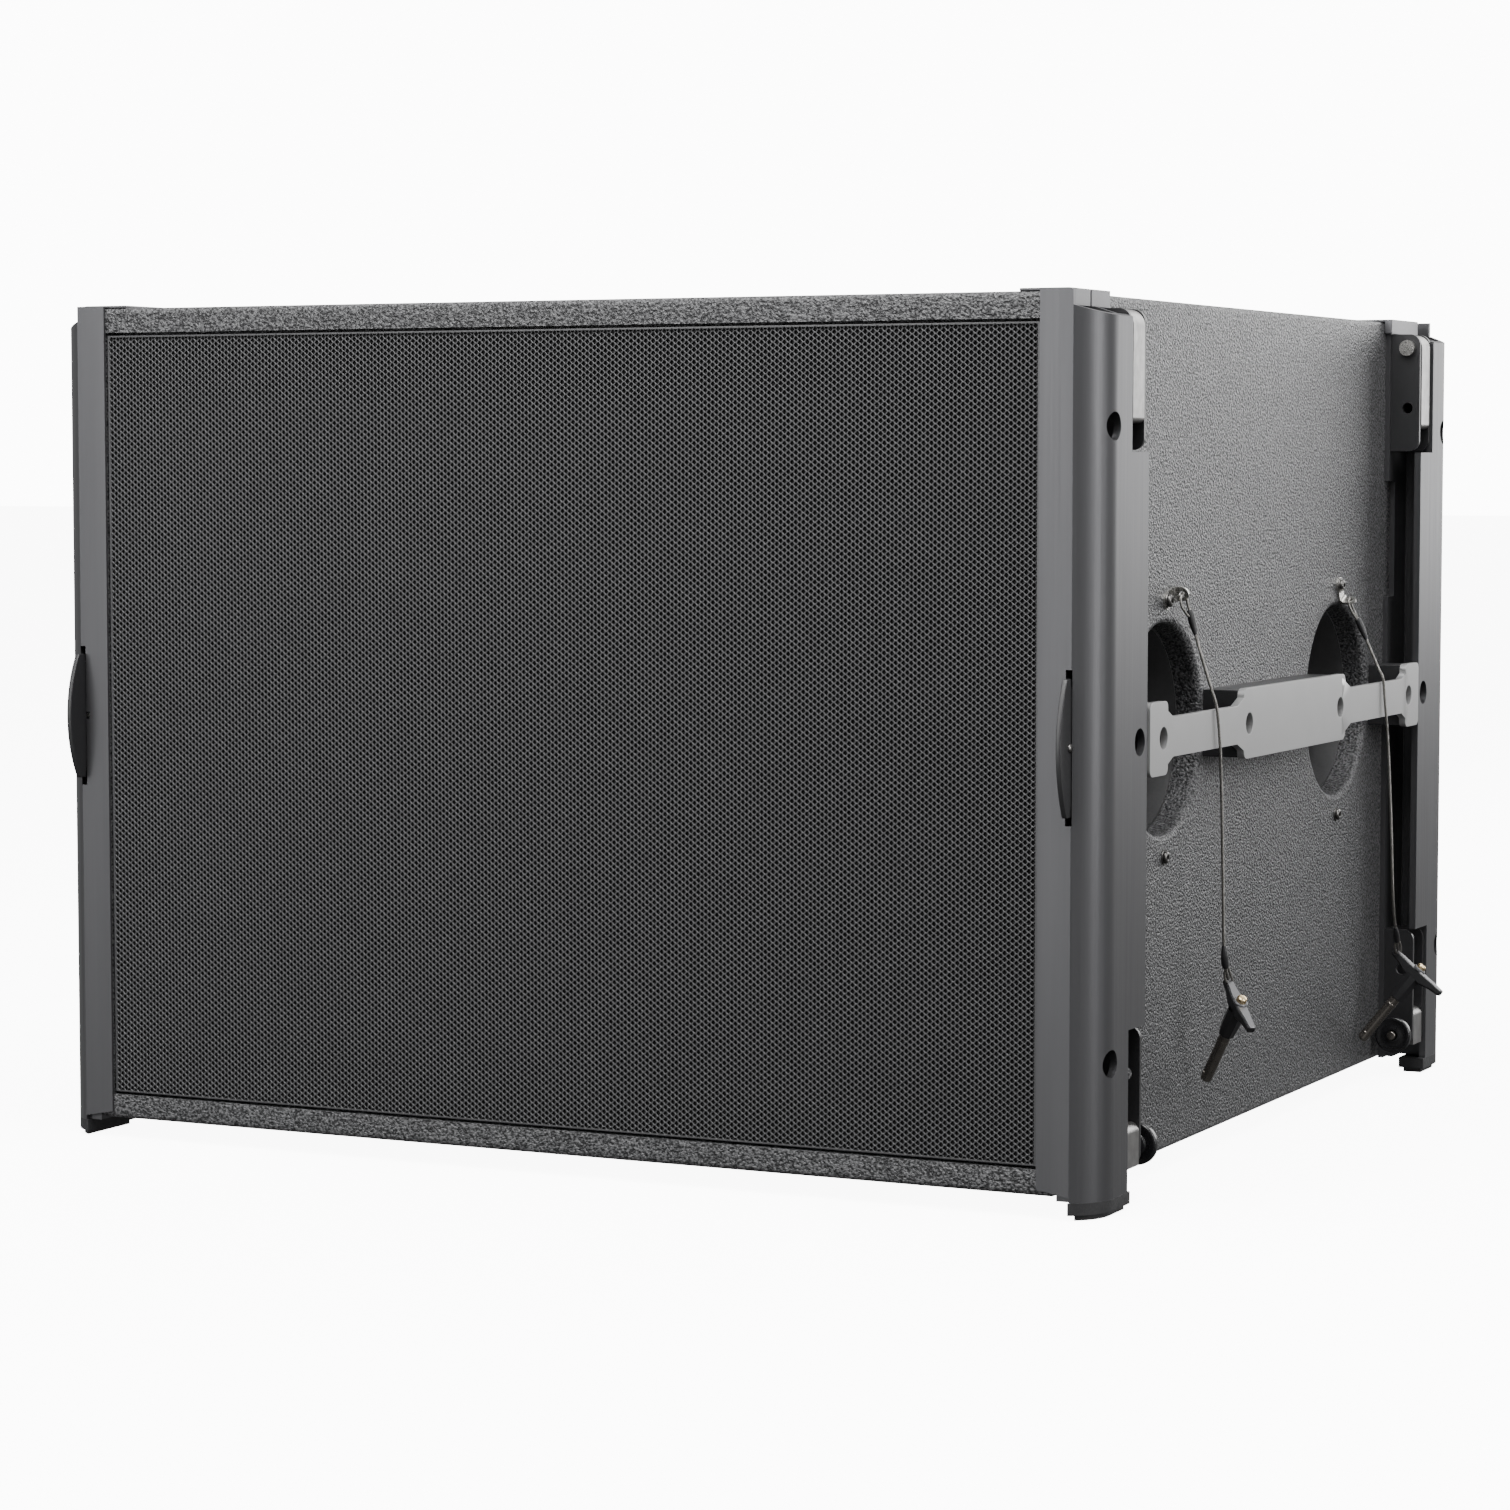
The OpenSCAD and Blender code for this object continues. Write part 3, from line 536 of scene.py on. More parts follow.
def rope(line):
    """Six strands laid round the line."""
    across = frames_along(line)
    travelled = [0.0]
    for a, b in zip(line, line[1:]):
        travelled.append(travelled[-1] + (b - a).length)
    parts = []
    for strand in range(STRANDS):
        centre = []
        for point, (a, b), s in zip(line, across, travelled):
            angle = 2 * math.pi * (strand / STRANDS + s / LAY_PITCH)
            centre.append(point + (WIRE_R - STRAND_R) * (a * math.cos(angle) + b * math.sin(angle)))
        parts.append(sweep(centre, STRAND_R, 6))
    return joined(parts)


def stretch_of(line, start, stop):
    """The part of the line between two distances along it; negative counts from its end."""
    travelled = [0.0]
    for a, b in zip(line, line[1:]):
        travelled.append(travelled[-1] + (b - a).length)
    total = travelled[-1]
    start, stop = [d + total if d < 0 else d for d in (start, stop)]
    return [p for p, s in zip(line, travelled) if start <= s <= stop]


def ferrule(line):
    """A shrunk sleeve: wide over the crimp, and tapering to the wire."""
    last = len(line) - 1
    radii = [2.5 - 1.15 * max(0, (i / last - 0.45) / 0.55) ** 1.5 - 0.5 * max(0, 0.12 - i / last) / 0.12
             for i in range(last + 1)]
    return sweep(line, radii, 16)


def lanyard(name, route, loop_back, pin_end, material, sleeve):
    """A wire rope with an eye at each end; returns the pieces that go with it."""
    line = catmull(route)
    matrix = side_matrix(1)
    verts, faces = rope(line)
    wire = piece(f"{name}_rope", verts, faces, matrix, material, "lanyard_wire", replaces=[name],
                 smooth=60)
    upper = stretch_of(line, 16, 34)
    lower = list(reversed(stretch_of(line, -27, -10)))
    extras = []
    for label, part in (("upper_sleeve", upper), ("lower_sleeve", lower)):
        extras.append(piece(f"{name}_{label}", *ferrule(part), matrix, sleeve, "lanyard_wire",
                            smooth=50))
    extras.append(piece(f"{name}_upper_eye", *sweep(catmull(loop_back), 0.9, 10), matrix, material,
                        "lanyard_wire", smooth=60))
    extras.append(piece(f"{name}_lower_eye", *sweep(catmull(pin_end), 0.9, 10), matrix, material,
                        "lanyard_wire", smooth=60))
    return wire, line, extras


# ---------- quick-release pins ----------

PIN_R = 4
SHAFT_LEN = 42
HUB_R = 6.3
HUB = 24
BAR_HALF = 25
BUTTON_R = 3.5
BALL_R = 1.3
KNOB_R = 14
KNOB_BACK = 15
KNOB_FRONT = 21
KNOB_EDGE = 1.6


def pin_parts():
    """Shaft, sleeve and handle in the pin's own frame: the shaft points down from the origin."""
    shaft = lathe([(0, -SHAFT_LEN), (PIN_R - 1.4, -SHAFT_LEN), (PIN_R, 1.6 - SHAFT_LEN), (PIN_R, 0),
                   (PIN_R, 6)], 32)
    ball = lathe([(0, -BALL_R)] + arc(0, 0, BALL_R, -60, 60, 6) + [(0, BALL_R)], 12)
    balls = [moved(ball, Matrix.Translation((0, side * 3.6, -35.5))) for side in (-1, 1)]
    groove = lathe([(PIN_R + 0.05, -8.4), (PIN_R + 0.25, -8), (PIN_R + 0.25, -6), (PIN_R + 0.05, -5.6)], 32)
    sleeve = lathe([(PIN_R, -1), (4.9, -1), (5.4, -0.4), (HUB_R, 9), (HUB_R, 15), (HUB_R, HUB - 3)], 8)
    # Along the bar: place, half thickness, underside and top
    outlines = [(-BAR_HALF - 0.6, 2.2, 23.2, 27.2), (-BAR_HALF, 3, 22.6, 27.6),
                (-BAR_HALF + 8, 3.3, 21.6, 27.8), (-7, 4.2, 19, 27.6), (7, 4.2, 19, 27.6),
                (BAR_HALF - 8, 3.3, 21.6, 27.8), (BAR_HALF, 3, 22.6, 27.6),
                (BAR_HALF + 0.6, 2.2, 23.2, 27.2)]
    cut = 1.1
    crown = 0.4
    sections = [[(x, -w, lo + cut), (x, -w, hi - cut - crown), (x, -w + cut, hi - crown),
                 (x, w - cut, hi - crown), (x, w, hi - cut - crown), (x, w, lo + cut), (x, w - cut, lo),
                 (x, -w + cut, lo)] for x, w, lo, hi in outlines]
    tops = [[(x, -w + 0.5, hi - crown - 0.5), (x, -w + 0.9, hi), (x, w - 0.9, hi),
             (x, w - 0.5, hi - crown - 0.5)] for x, w, lo, hi in outlines]
    collar_r = BUTTON_R + 0.2
    collar = lathe([(5, HUB + 3), (5, HUB + 4.4), (4.4, HUB + 5), (collar_r, HUB + 5), (collar_r, HUB + 3)],
                   32)
    return {"shaft": joined([shaft, *balls, groove]), "sleeve": sleeve, "cheeks": facing(loft(sections)),
            "crown": joined([facing(loft(tops)), collar])}


def button_part():
    """A push button with a domed end, in the pin's own frame."""
    dome_r = 1.6
    return lathe([(0, HUB - 0.8), (BUTTON_R, HUB - 0.8), (BUTTON_R, HUB + 6.2)]
                 + arc(BUTTON_R - dome_r, HUB + 6.6, dome_r, 0, 90, 6)[1:] + [(0, HUB + 6.6 + dome_r)], 32)


def quick_pin(node, matrix, materials):
    """The shaft and the handle of one pin, which together stand for its CAD node."""
    parts = pin_parts()
    order = [("sleeve", "sleeve_black"), ("cheeks", "sleeve_black"), ("crown", "handle_cast")]
    piece(f"{node}_shaft", *parts["shaft"], matrix, materials["pin_metal"], "pin_metal", "root",
          replaces=[node], smooth=30)
    grip = piece(f"{node}_handle", *joined([parts[key] for key, _ in order]), matrix,
                 materials["sleeve_black"], "pin_metal", "root", replaces=[node], smooth=30)
    grip.data.materials.append(materials["handle_cast"])
    index = [int(slot == "handle_cast") for key, slot in order for _ in parts[key][1]]
    grip.data.polygons.foreach_set("material_index", index)
    return grip


def pin_matrix(pin):
    place, angles = pin
    return side_matrix(1) @ Matrix.Translation(place) @ turn(*angles)


def make_cords(materials):
    wire, sleeve = materials["lanyard_wire"], materials["sleeve_black"]
    front_back = [(7.5, -174.9, 374.6), (7.3, -176.6, 371.5), (8, -176, 367), (10, -173.4, 362.6),
                  (12.3, -170.4, 359)]
    front_end = [(32, -150.6, 123.5), (31, -149.6, 117.4), (31.2, -147, 112.4), (32.2, -143.3, 110.2),
                 (33.6, -141.2, 111.9), (33.4, -143.8, 116.6), (32.6, -149.4, 123.8)]
    rear_back = [(7.5, 189.4, 361.2), (7.4, 187.4, 358.6), (8.4, 187.6, 354), (10.8, 190.6, 348),
                 (12.6, 193.4, 344)]
    rear_end = [(33, 234.6, 100.4), (31.2, 236, 95.4), (30.4, 240.2, 90.8), (31.1, 244.5, 88),
                (32.8, 246, 90.6), (33.6, 242.2, 96), (33.4, 236.6, 100.6)]
    for end, route, back, low, pin in (("front", FRONT_ROUTE, front_back, front_end, FRONT_PIN),
                                       ("rear", REAR_ROUTE, rear_back, rear_end, REAR_PIN)):
        name = f"{end}_lanyard"
        rope_piece, line, extras = lanyard(name, route, back, low, wire, sleeve)
        matrix = pin_matrix(pin)
        held = quick_pin(f"{end}_tether_pin", matrix, materials)
        button = piece(f"{end}_button_dome", *button_part(), matrix, materials["button_brass"],
                       "button_brass", f"{end}_button", [f"{end}_pin_button"], 40)


def make_low_pins(materials):
    """A steel shaft and button, and a round black knob with rolled edges."""
    button_r = BUTTON_R - 0.1
    dome_r = 1.1
    button = lathe([(button_r, KNOB_FRONT - 1), (button_r, KNOB_FRONT + 2.4)]
                   + arc(button_r - dome_r, KNOB_FRONT + 2.4, dome_r, 0, 90, 5)[1:]
                   + [(0, KNOB_FRONT + 2.4 + dome_r)], 32)
    shaft = lathe([(0, -SHAFT_LEN), (PIN_R - 1, -SHAFT_LEN), (PIN_R, 1 - SHAFT_LEN), (PIN_R, 1)], 32)
    rim = KNOB_R - KNOB_EDGE
    dish = [(KNOB_R - 3.2, KNOB_FRONT - 0.6), (7, KNOB_FRONT - 0.9), (5.6, KNOB_FRONT - 0.2),
            (4, KNOB_FRONT - 0.2), (BUTTON_R, KNOB_FRONT - 2)]
    knob = lathe([(PIN_R, -0.2), (5.8, 0), (HUB_R, 0.8), (HUB_R, KNOB_BACK - 1), (HUB_R + 1, KNOB_BACK)]
                 + arc(rim, KNOB_BACK + KNOB_EDGE, KNOB_EDGE, -90, 0, 5)
                 + arc(rim, KNOB_FRONT - KNOB_EDGE, KNOB_EDGE, 0, 90, 5) + dish, 64)
    for end_name, end in ENDS.items():
        for side_name, side in SIDES.items():
            matrix = corner_matrix(side, end) @ Matrix.Translation(LOW_PIN) @ turn(-90, 0, 0)
            name = f"{end_name}_{side_name}_low_pin"
            piece(f"{name}_shaft", *joined([shaft, button]), matrix, materials["pin_metal"],
                  "pin_metal", name, replaces=[name], smooth=30)
            piece(f"{name}_knob", *knob, matrix, materials["knob_black"], "pin_metal", name,
                  replaces=[name], smooth=40)


# ---------- cabinet ----------

EDGE_R = 4
RIM_R = 4.5
REBATE = 6
REBATE_DEEP = 14


def solid(name, part, matrix):
    mesh = bpy.data.meshes.new(name)
    mesh.from_pydata([tuple(v) for v in part[0]], [], [tuple(f) for f in part[1]])
    mesh.transform(matrix)
    if matrix.determinant() < 0:
        mesh.flip_normals()
    thing = bpy.data.objects.new(name, mesh)
    bpy.context.scene.collection.objects.link(thing)
    return thing


def box_part(low, high):
    (a, b, c), (d, e, f) = low, high
    verts = [(a, b, c), (d, b, c), (d, e, c), (a, e, c), (a, b, f), (d, b, f), (d, e, f), (a, e, f)]
    faces = [(3, 2, 1, 0), (4, 5, 6, 7), (0, 1, 5, 4), (1, 2, 6, 5), (2, 3, 7, 6), (3, 0, 4, 7)]
    return verts, faces


def cup_cutter():
    """Along Z: a straight hole that flares into the rounded rim at the side panel's face."""
    flare = [(CUP_R + RIM_R - x, z) for x, z in arc(0, -RIM_R, RIM_R, 0, 90, 8)]
    return lathe([(0, -PLY - 4), (CUP_R, -PLY - 4), *flare, (CUP_R + RIM_R, 6), (0, 6)], 128)


def make_cabinet(materials):
    """The four glued panels under one coat of paint, with rounded edges and hand holes."""
    shell = solid("cabinet_shell", box_part((-CAB_W / 2, -CAB_D / 2, 0), (CAB_W / 2, CAB_D / 2, CAB_H)),
                  cabinet_matrix())
    rounding = shell.modifiers.new("rounding", "BEVEL")
    rounding.width = EDGE_R * MM
    rounding.segments = 4
    inner = solid("inner", box_part((-CAB_W / 2 + PLY, -CAB_D, PLY), (CAB_W / 2 - PLY, CAB_D, CAB_H - PLY)),
                  cabinet_matrix())
    reach = CAB_W / 2 - PLY + REBATE
    rebate = solid("rebate", box_part((-reach, -CAB_D / 2 - 9, PLY - 1),
                                      (reach, -CAB_D / 2 + REBATE_DEEP, CAB_H - PLY + 1)),
                   cabinet_matrix())
    cutters = [inner, rebate]
    for side in SIDES.values():
        for y in (-CUP_Y, CUP_Y):
            matrix = side_matrix(side) @ Matrix.Translation((0, y, CAB_H / 2)) @ turn(0, 90, 0)
            cutters.append(solid("cutter", cup_cutter(), matrix))
    for cutter in cutters:
        cut = shell.modifiers.new("cut", "BOOLEAN")
        cut.operation = "DIFFERENCE"
        cut.object = cutter
        cut.solver = "EXACT"
    graph = bpy.context.evaluated_depsgraph_get()
    mesh = bpy.data.meshes.new_from_object(shell.evaluated_get(graph))
    for thing in (shell, *cutters):
        bpy.data.objects.remove(thing)
    mesh.name = "cabinet_shell"
    mesh.materials.clear()
    mesh.materials.append(materials["cabinet_coat"])
    settle("cabinet_shell", mesh,
           replaces=["top_panel", "bottom_panel", "left_side_panel", "right_side_panel"], smooth=32)


def make_cups(materials):
    """Moulded cups: a flange behind the panel, a rounded floor and a wall with draft."""
    deep = -PLY - CUP_DEPTH
    wall = 3
    fillet = 9
    inner = [(CUP_R - wall + 0.6, -PLY + 0.6)] + [(CUP_R - 7 - fillet + x, z) for x, z in
             arc(0, deep + wall + fillet, fillet, 0, -90, 8)] + [(0, deep + wall)]
    outer = [(0, deep), (CUP_R - 12, deep), (CUP_R - 3.5, deep + 8), (CUP_R + 0.5, -PLY - 3), (76, -PLY - 3),
             (76, -PLY), (CUP_R - wall + 1.6, -PLY)]
    part = lathe(outer + inner, 96)
    for name, side in SIDES.items():
        cups = joined([moved(part, Matrix.Translation((0, y, CAB_H / 2)) @ turn(0, 90, 0))
                       for y in (-CUP_Y, CUP_Y)])
        piece(f"{name}_cups", *cups, side_matrix(side), materials["cup_plastic"], "cup_plastic",
              replaces=[f"{name}_hand_cups"], smooth=40)


def screw_part():
    """A pan head with a hex socket on a washer, along Z from the panel's face."""
    washer = lathe([(0, 0), (5.2, 0), (5.4, 0.3), (5.2, 0.8), (0, 0.8)], 32)
    head = lathe([(3.9, 0.8), (4.2, 1.2)] + arc(2.6, 1.6, 1.6, 0, 80, 5)[1:] + [(2.3, 3.2)], 32)
    socket = lathe([(2.3, 3.2), (1.7, 3), (1.6, 1.4), (0, 1.2)], 6)
    return joined([washer, head, socket])


def lug_part():
    """A bent strip: a round foot under the screw and a flange with an eye for the lanyard."""
    thick = LUG_T
    half = 5
    reach = 12
    bend_y = 12
    foot = lathe([(0, 0), (6, 0), (6, thick), (0, thick)], 40)
    foot = moved(foot, turn(0, 90, 0))
    neck = box_part((0, 0, -half), (thick, bend_y + 0.4, half))
    count = 24
    outline = ([(thick - 0.4, -half), (reach - half, -half)]
               + [(reach - half + half * math.cos(math.radians(a)), half * math.sin(math.radians(a)))
                  for a in np.linspace(-90, 90, count)][1:-1]
               + [(reach - half, half), (thick - 0.4, half)])
    eye = [(7.5 + 2.2 * math.cos(math.radians(a)), 2.2 * math.sin(math.radians(a)))
           for a in np.linspace(0, 360, count, endpoint=False)]
    work = bmesh.new()
    for y in (bend_y, bend_y + thick):
        rim = [work.verts.new((x, y, z)) for x, z in outline]
        hole = [work.verts.new((x, y, z)) for x, z in eye]
        edges = [work.edges.new((ring[i], ring[(i + 1) % len(ring)])) for ring in (rim, hole)
                 for i in range(len(ring))]
        bmesh.ops.triangle_fill(work, use_beauty=True, use_dissolve=False, edges=edges)
    work.verts.ensure_lookup_table()
    total = len(outline) + len(eye)
    for start, count_of in ((0, len(outline)), (len(outline), len(eye))):
        for i in range(count_of):
            n = start + (i + 1) % count_of
            work.faces.new([work.verts[start + i], work.verts[n], work.verts[total + n],
                            work.verts[total + start + i]])
    bmesh.ops.recalc_face_normals(work, faces=work.faces)
    work.verts.index_update()
    flange = [v.co.copy() for v in work.verts], [[v.index for v in f.verts] for f in work.faces]
    work.free()
    bend = moved(lathe([(0, -half), (thick, -half), (thick, half), (0, half)], 24),
                 Matrix.Translation((thick, bend_y, 0)))
    return joined([foot, neck, flange, bend])


LUG_TURNS = {-CUP_Y: 20, CUP_Y: -65}
LUG_T = 1.6
RIVET_R = 3


def make_fasteners(materials):
    screws = []
    for side in SIDES.values():
        for y in (-CUP_Y, CUP_Y):
            for up in (-1, 1):
                base = LUG_T if side > 0 and up > 0 else 0
                screws.append(moved(screw_part(), side_matrix(side)
                                    @ Matrix.Translation((base, y, CAB_H / 2 + up * SCREW_R))
                                    @ turn(0, 90, 0)))
    piece("cup_screw_heads", *joined(screws), Matrix.Identity(4), materials["screw_zinc"], "zinc_steel",
          replaces=["cup_screws"], smooth=35)
    lugs = [moved(lug_part(), Matrix.Translation((0, y, CAB_H / 2 + SCREW_R)) @ turn(angle, 0, 0))
            for y, angle in LUG_TURNS.items()]
    piece("lanyard_lug_strips", *joined(lugs), side_matrix(1), materials["zinc_steel"], "zinc_steel",
          replaces=["lanyard_lugs"], smooth=40)


def make_rivets(materials):
    """A flat-domed rivet in the middle of each lever's outward face."""
    dome = lathe([(RIVET_R, 0), (RIVET_R, 0.4)] + arc(0, 0.4, RIVET_R, 0, 90, 8)[1:], 32)
    dome = moved(dome, Matrix.Diagonal((1, 1, 0.5, 1)))
    for name, side in SIDES.items():
        low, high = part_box(f"{name}_lock_lever")
        out = (max(abs(low.x), abs(high.x)) - HALF_W) / MM
        middle = ((low.z + high.z) / 2 - BASE_Z) / MM
        back = ((low.y + high.y) / 2 - MID_Y) / MM
        matrix = side_matrix(side) @ Matrix.Translation((out, back, middle)) @ turn(0, 90, 0)
        piece(f"{name}_lever_rivet", *dome, matrix, materials["screw_zinc"], "zinc_steel",
              f"{name}_lever", smooth=50)


# ---------- grille ----------

PITCH_X = 5.43
PITCH_Z = 4.05
CELL_CORNER = 2.113
GRILLE_TILES = 6
SHEET_T = 1.2
HOLE_SHARE = 0.8
HOLES_IN = 2.3
FOLD_R = 0.8


def grille_holes(half_x, half_z):
    """Centres of the holes on a staggered lattice that fits inside the two half sizes."""
    nx = int(half_x / (PITCH_X / 2))
    nz = int(half_z / (PITCH_Z / 2))
    i, k = np.meshgrid(np.arange(-nx, nx + 1), np.arange(-nz, nz + 1), indexing="ij")
    keep = (i + k) % 2 == 0
    return np.stack([i[keep] * PITCH_X / 2, k[keep] * PITCH_Z / 2], axis=1)


def perforated(centres, front):
    """Hexagonal cells of sheet round each hole, with the hole's walls, merged where cells meet."""
    a = CELL_CORNER
    b = PITCH_X / 2 - CELL_CORNER
    c = PITCH_Z / 2
    cell = np.array([(a, 0), (b, c), (-b, c), (-a, 0), (-b, -c), (b, -c)])
    hole = cell * (HOLE_SHARE, HOLE_SHARE * 0.97)
    n = len(centres)
    rings = []
    for shape, depth in ((cell, 0.0), (hole, 0.0), (hole * 1.02, SHEET_T)):
        flat = centres[:, None, :] + shape[None, :, :]
        level = np.full((n, 6, 1), front + depth)
        rings.append(np.concatenate([flat[:, :, :1], level, flat[:, :, 1:]], axis=2).reshape(-1, 3))
    verts = np.concatenate(rings)
    base = np.arange(n)[:, None] * 6
    here = base + np.arange(6)
    there = base + (np.arange(6) + 1) % 6
    faces = [np.stack([here, there, there + 6 * n, here + 6 * n], axis=2).reshape(-1, 4),
             np.stack([here + 6 * n, there + 6 * n, there + 12 * n, here + 12 * n], axis=2).reshape(-1, 4)]
    faces = np.concatenate(faces)
    keys = np.round(verts * 100).astype(np.int64)
    _, first, index = np.unique(keys, axis=0, return_index=True, return_inverse=True)
    return verts[first], index.reshape(-1)[faces]


def quad_mesh(name, verts, faces, matrix):
    mesh = bpy.data.meshes.new(name)
    mesh.vertices.add(len(verts))
    mesh.loops.add(faces.size)
    mesh.polygons.add(len(faces))
    mesh.vertices.foreach_set("co", verts.astype(np.float32).ravel())
    mesh.loops.foreach_set("vertex_index", faces.astype(np.int32).ravel())
    mesh.polygons.foreach_set("loop_start", np.arange(0, faces.size, 4, dtype=np.int32))
    mesh.update(calc_edges=True)
    mesh.validate()
    mesh.transform(matrix)
    return mesh


def make_grille(materials):
    """A perforated sheet in tiles, with a narrow plain margin and a folded edge."""
    low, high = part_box("front_grille")
    half_x = high.x / MM
    half_z = (high.z - low.z) / 2 / MM
    front = (low.y - (MID_Y - HALF_D)) / MM - CAB_D / 2
    middle = (low.z + high.z) / 2
    matrix = Matrix.Translation((0, MID_Y, middle)) @ Matrix.Diagonal((MM, MM, MM, 1))
    centres = grille_holes(half_x - HOLES_IN, half_z - HOLES_IN)
    bands = np.linspace(-half_x, half_x, GRILLE_TILES + 1)
    for t in range(GRILLE_TILES):
        inside = (centres[:, 0] >= bands[t] - 1e-6) & (centres[:, 0] < bands[t + 1] - 1e-6)
        mesh = quad_mesh(f"grille_sheet_{t + 1}", *perforated(centres[inside], front), matrix)
        mesh.materials.append(materials["grille_steel"])
        thing = bpy.data.objects.new(mesh.name, mesh)
        bpy.context.scene.collection.objects.link(thing)
        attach(thing, "root")
    reach_x = centres[:, 0].max() + 1.62
    reach_z = centres[:, 1].max() + 1.5
    depth = (high.y - low.y) / MM
    flat = half_x - reach_x - FOLD_R
    behind = 0.06
    turns = 5
    steps = [(0, behind), (flat, behind)]
    steps += [(flat + x, FOLD_R - z + behind * (1 - k / turns)) for k, (x, z) in
              enumerate(arc(0, 0, FOLD_R, 90, 0, turns)[1:], 1)]
    steps.append((half_x - reach_x, depth))
    verts, faces = [], []
    spread_z = half_z - reach_z
    for along, back in steps:
        share = along / (half_x - reach_x)
        x = reach_x + along
        z = reach_z + share * spread_z
        start = len(verts)
        verts += [(-x, front + back, -z), (x, front + back, -z), (x, front + back, z), (-x, front + back, z)]
        if start:
            faces += [(start - 4 + k, start - 4 + (k + 1) % 4, start + (k + 1) % 4, start + k)
                      for k in range(4)]
    piece("grille_edge", verts, faces, matrix, materials["grille_steel"], "grille_steel",
          replaces=["front_grille"], smooth=50)


# ---------- CAD nodes that keep their shape ----------

# Bevel widths by a word in the node's name. The rails keep their own edges and normals.
EDGED = {
    "bar": 0.9, "clevises": 0.6, "link": 0.9, "caps": 0.7, "lever": 0.7, "feet": 1.6,
    "guide_blocks": 0.8, "plate": 0.6, "spacers": 0.8,
}
BEVEL_ANGLE = 40


def edge_width(name):
    if name in ("woofer_top_plate", "lever_pivots", "link_pivots"):
        return 0
    return max([width for word, width in EDGED.items() if word in name], default=0)


def finish_nodes(materials):
    """Puts each record slot's material on its CAD nodes, and rounds the edges of what is seen."""
    slots = {row["node"]: row["material_slot"] for row in frame["record"]["subparts"]}
    for name, thing in NODES.items():
        if thing.hide_render:
            continue
        material = materials[slots[name]]
        thing.data.materials.clear()
        thing.data.materials.append(material)
        width = edge_width(name)
        if width:
            weld = thing.modifiers.new("weld", "WELD")
            weld.merge_threshold = 1e-6
            edge = thing.modifiers.new("edge", "BEVEL")
            edge.width = width * MM
            edge.segments = 2
            edge.limit_method = "ANGLE"
            edge.angle_limit = math.radians(BEVEL_ANGLE)
            edge.use_clamp_overlap = True
            normals = thing.modifiers.new("normals", "WEIGHTED_NORMAL")
            normals.keep_sharp = False


# ---------- studio ----------

FILL_LOW = 0.15
FILL_HIGH = 1.2
BACKDROP = 12
FLOOR_GLOW = 9
AIM = Vector((0, 0, 0.3))


def around(azimuth, distance, height):
    """A place seen from the object's middle; azimuth 0 is straight in front, 90 is at its right."""
    a = math.radians(azimuth)
    return (distance * math.sin(a), -distance * math.cos(a), height)


def box_light(name, azimuth, distance, height, size, radiance):
    """A softbox that faces the object; its power follows from its size and its radiance."""
    data = bpy.data.lights.new(name, "AREA")
    data.shape = "RECTANGLE"
    data.size, data.size_y = size
    data.energy = math.pi * size[0] * size[1] * radiance
    light = bpy.data.objects.new(name, data)
    light.location = around(azimuth, distance, height)
    light.rotation_euler = (AIM - light.location).to_track_quat("-Z", "Y").to_euler()
    bpy.context.scene.collection.objects.link(light)


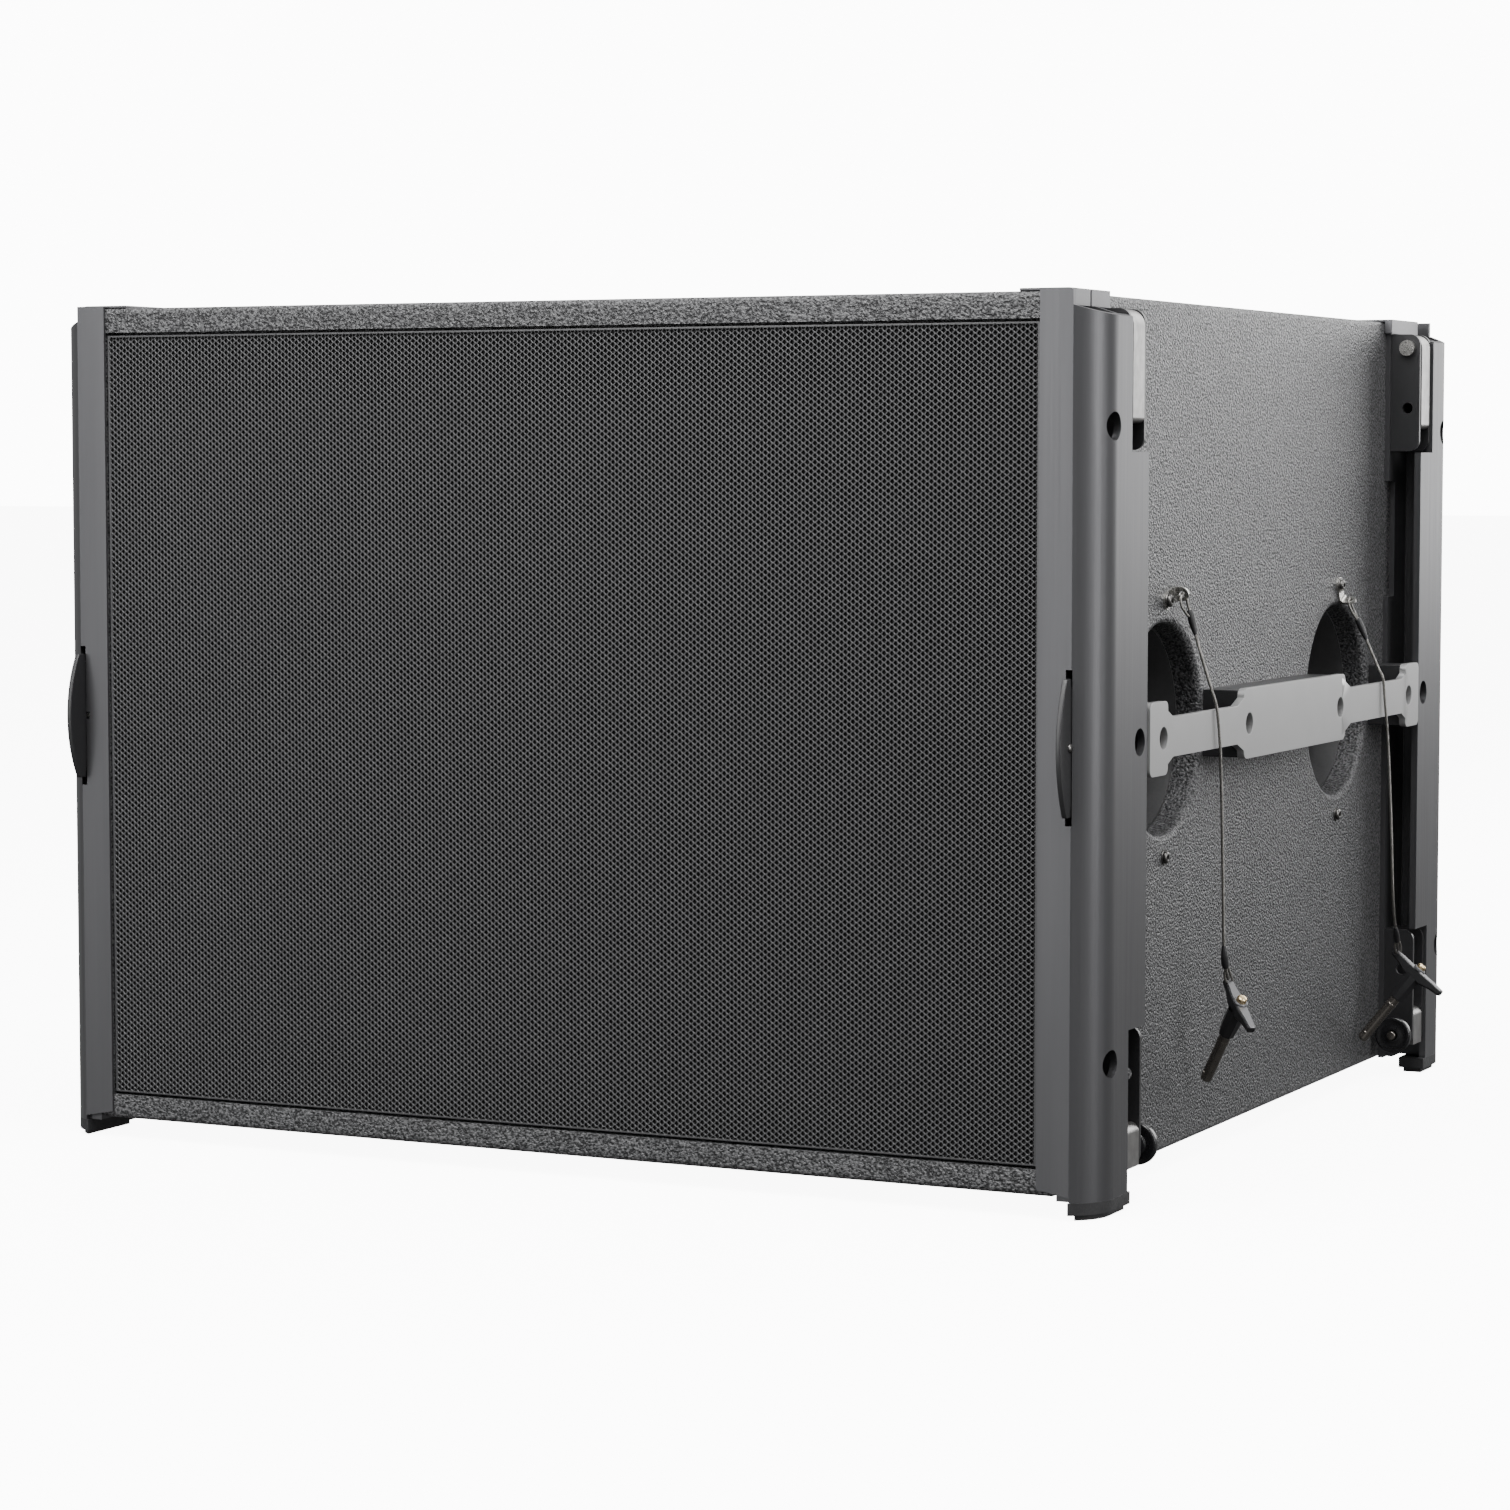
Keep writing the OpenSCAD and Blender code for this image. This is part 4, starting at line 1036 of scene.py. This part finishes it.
def make_world():
    """A white studio that the camera sees, and a softer fill that darkens towards the floor."""
    world = bpy.data.worlds.new("studio")
    bpy.context.scene.world = world
    world.use_nodes = True
    nodes, links = world.node_tree.nodes, world.node_tree.links
    backdrop = nodes["Background"]
    backdrop.inputs["Color"].default_value = (1, 1, 1, 1)
    backdrop.inputs["Strength"].default_value = BACKDROP
    fill = nodes.new("ShaderNodeBackground")
    place = nodes.new("ShaderNodeTexCoord")
    split = nodes.new("ShaderNodeSeparateXYZ")
    ramp = nodes.new("ShaderNodeMapRange")
    ramp.inputs["From Min"].default_value = -0.5
    ramp.inputs["From Max"].default_value = 0.9
    ramp.inputs["To Min"].default_value = FILL_LOW
    ramp.inputs["To Max"].default_value = FILL_HIGH
    links.new(place.outputs["Generated"], split.inputs["Vector"])
    links.new(split.outputs["Z"], ramp.inputs["Value"])
    links.new(ramp.outputs["Result"], fill.inputs["Strength"])
    seen = nodes.new("ShaderNodeLightPath")
    mix = nodes.new("ShaderNodeMixShader")
    links.new(seen.outputs["Is Camera Ray"], mix.inputs["Fac"])
    links.new(fill.outputs["Background"], mix.inputs[1])
    links.new(backdrop.outputs["Background"], mix.inputs[2])
    links.new(mix.outputs["Shader"], nodes["World Output"].inputs["Surface"])


def make_floor():
    """A pale, glowing floor that the camera sees, and that throws no light on the dark cabinet."""
    mesh = bpy.data.meshes.new("floor")
    reach = 30
    mesh.from_pydata([(-reach, -reach, 0), (reach, -reach, 0), (reach, reach, 0), (-reach, reach, 0)],
                     [], [(0, 1, 2, 3)])
    pale = Finish("pale_floor", (0.86, 0.86, 0.86), 0.8)
    pale.tint(pale.noise(2.0, 3.0), 0.3, (0.87, 0.87, 0.87), 0.7, (0.89, 0.89, 0.89))
    pale.put("Emission Color", (1, 1, 1, 1))
    pale.put("Emission Strength", FLOOR_GLOW)
    mesh.materials.append(pale.material)
    floor = bpy.data.objects.new("floor", mesh)
    bpy.context.scene.collection.objects.link(floor)
    floor.visible_diffuse = False
    floor.visible_glossy = False


def make_studio():
    make_world()
    make_floor()
    box_light("front_left_box", -22, 3.5, 1.25, (1.6, 2.4), 6.0)
    box_light("front_right_strip", 80, 3.2, 1.25, (0.6, 2.4), 13.0)
    box_light("back_right_box", 156, 2.8, 1.4, (1.8, 2.4), 4.6)
    box_light("top_box", 10, 1.3, 3.2, (3.0, 3.0), 9.5)


make_camera()
MATERIALS = make_materials()
make_cords(MATERIALS)
make_cabinet(MATERIALS)
make_cups(MATERIALS)
make_fasteners(MATERIALS)
make_grille(MATERIALS)
make_low_pins(MATERIALS)
make_rivets(MATERIALS)
finish_nodes(MATERIALS)
make_studio()
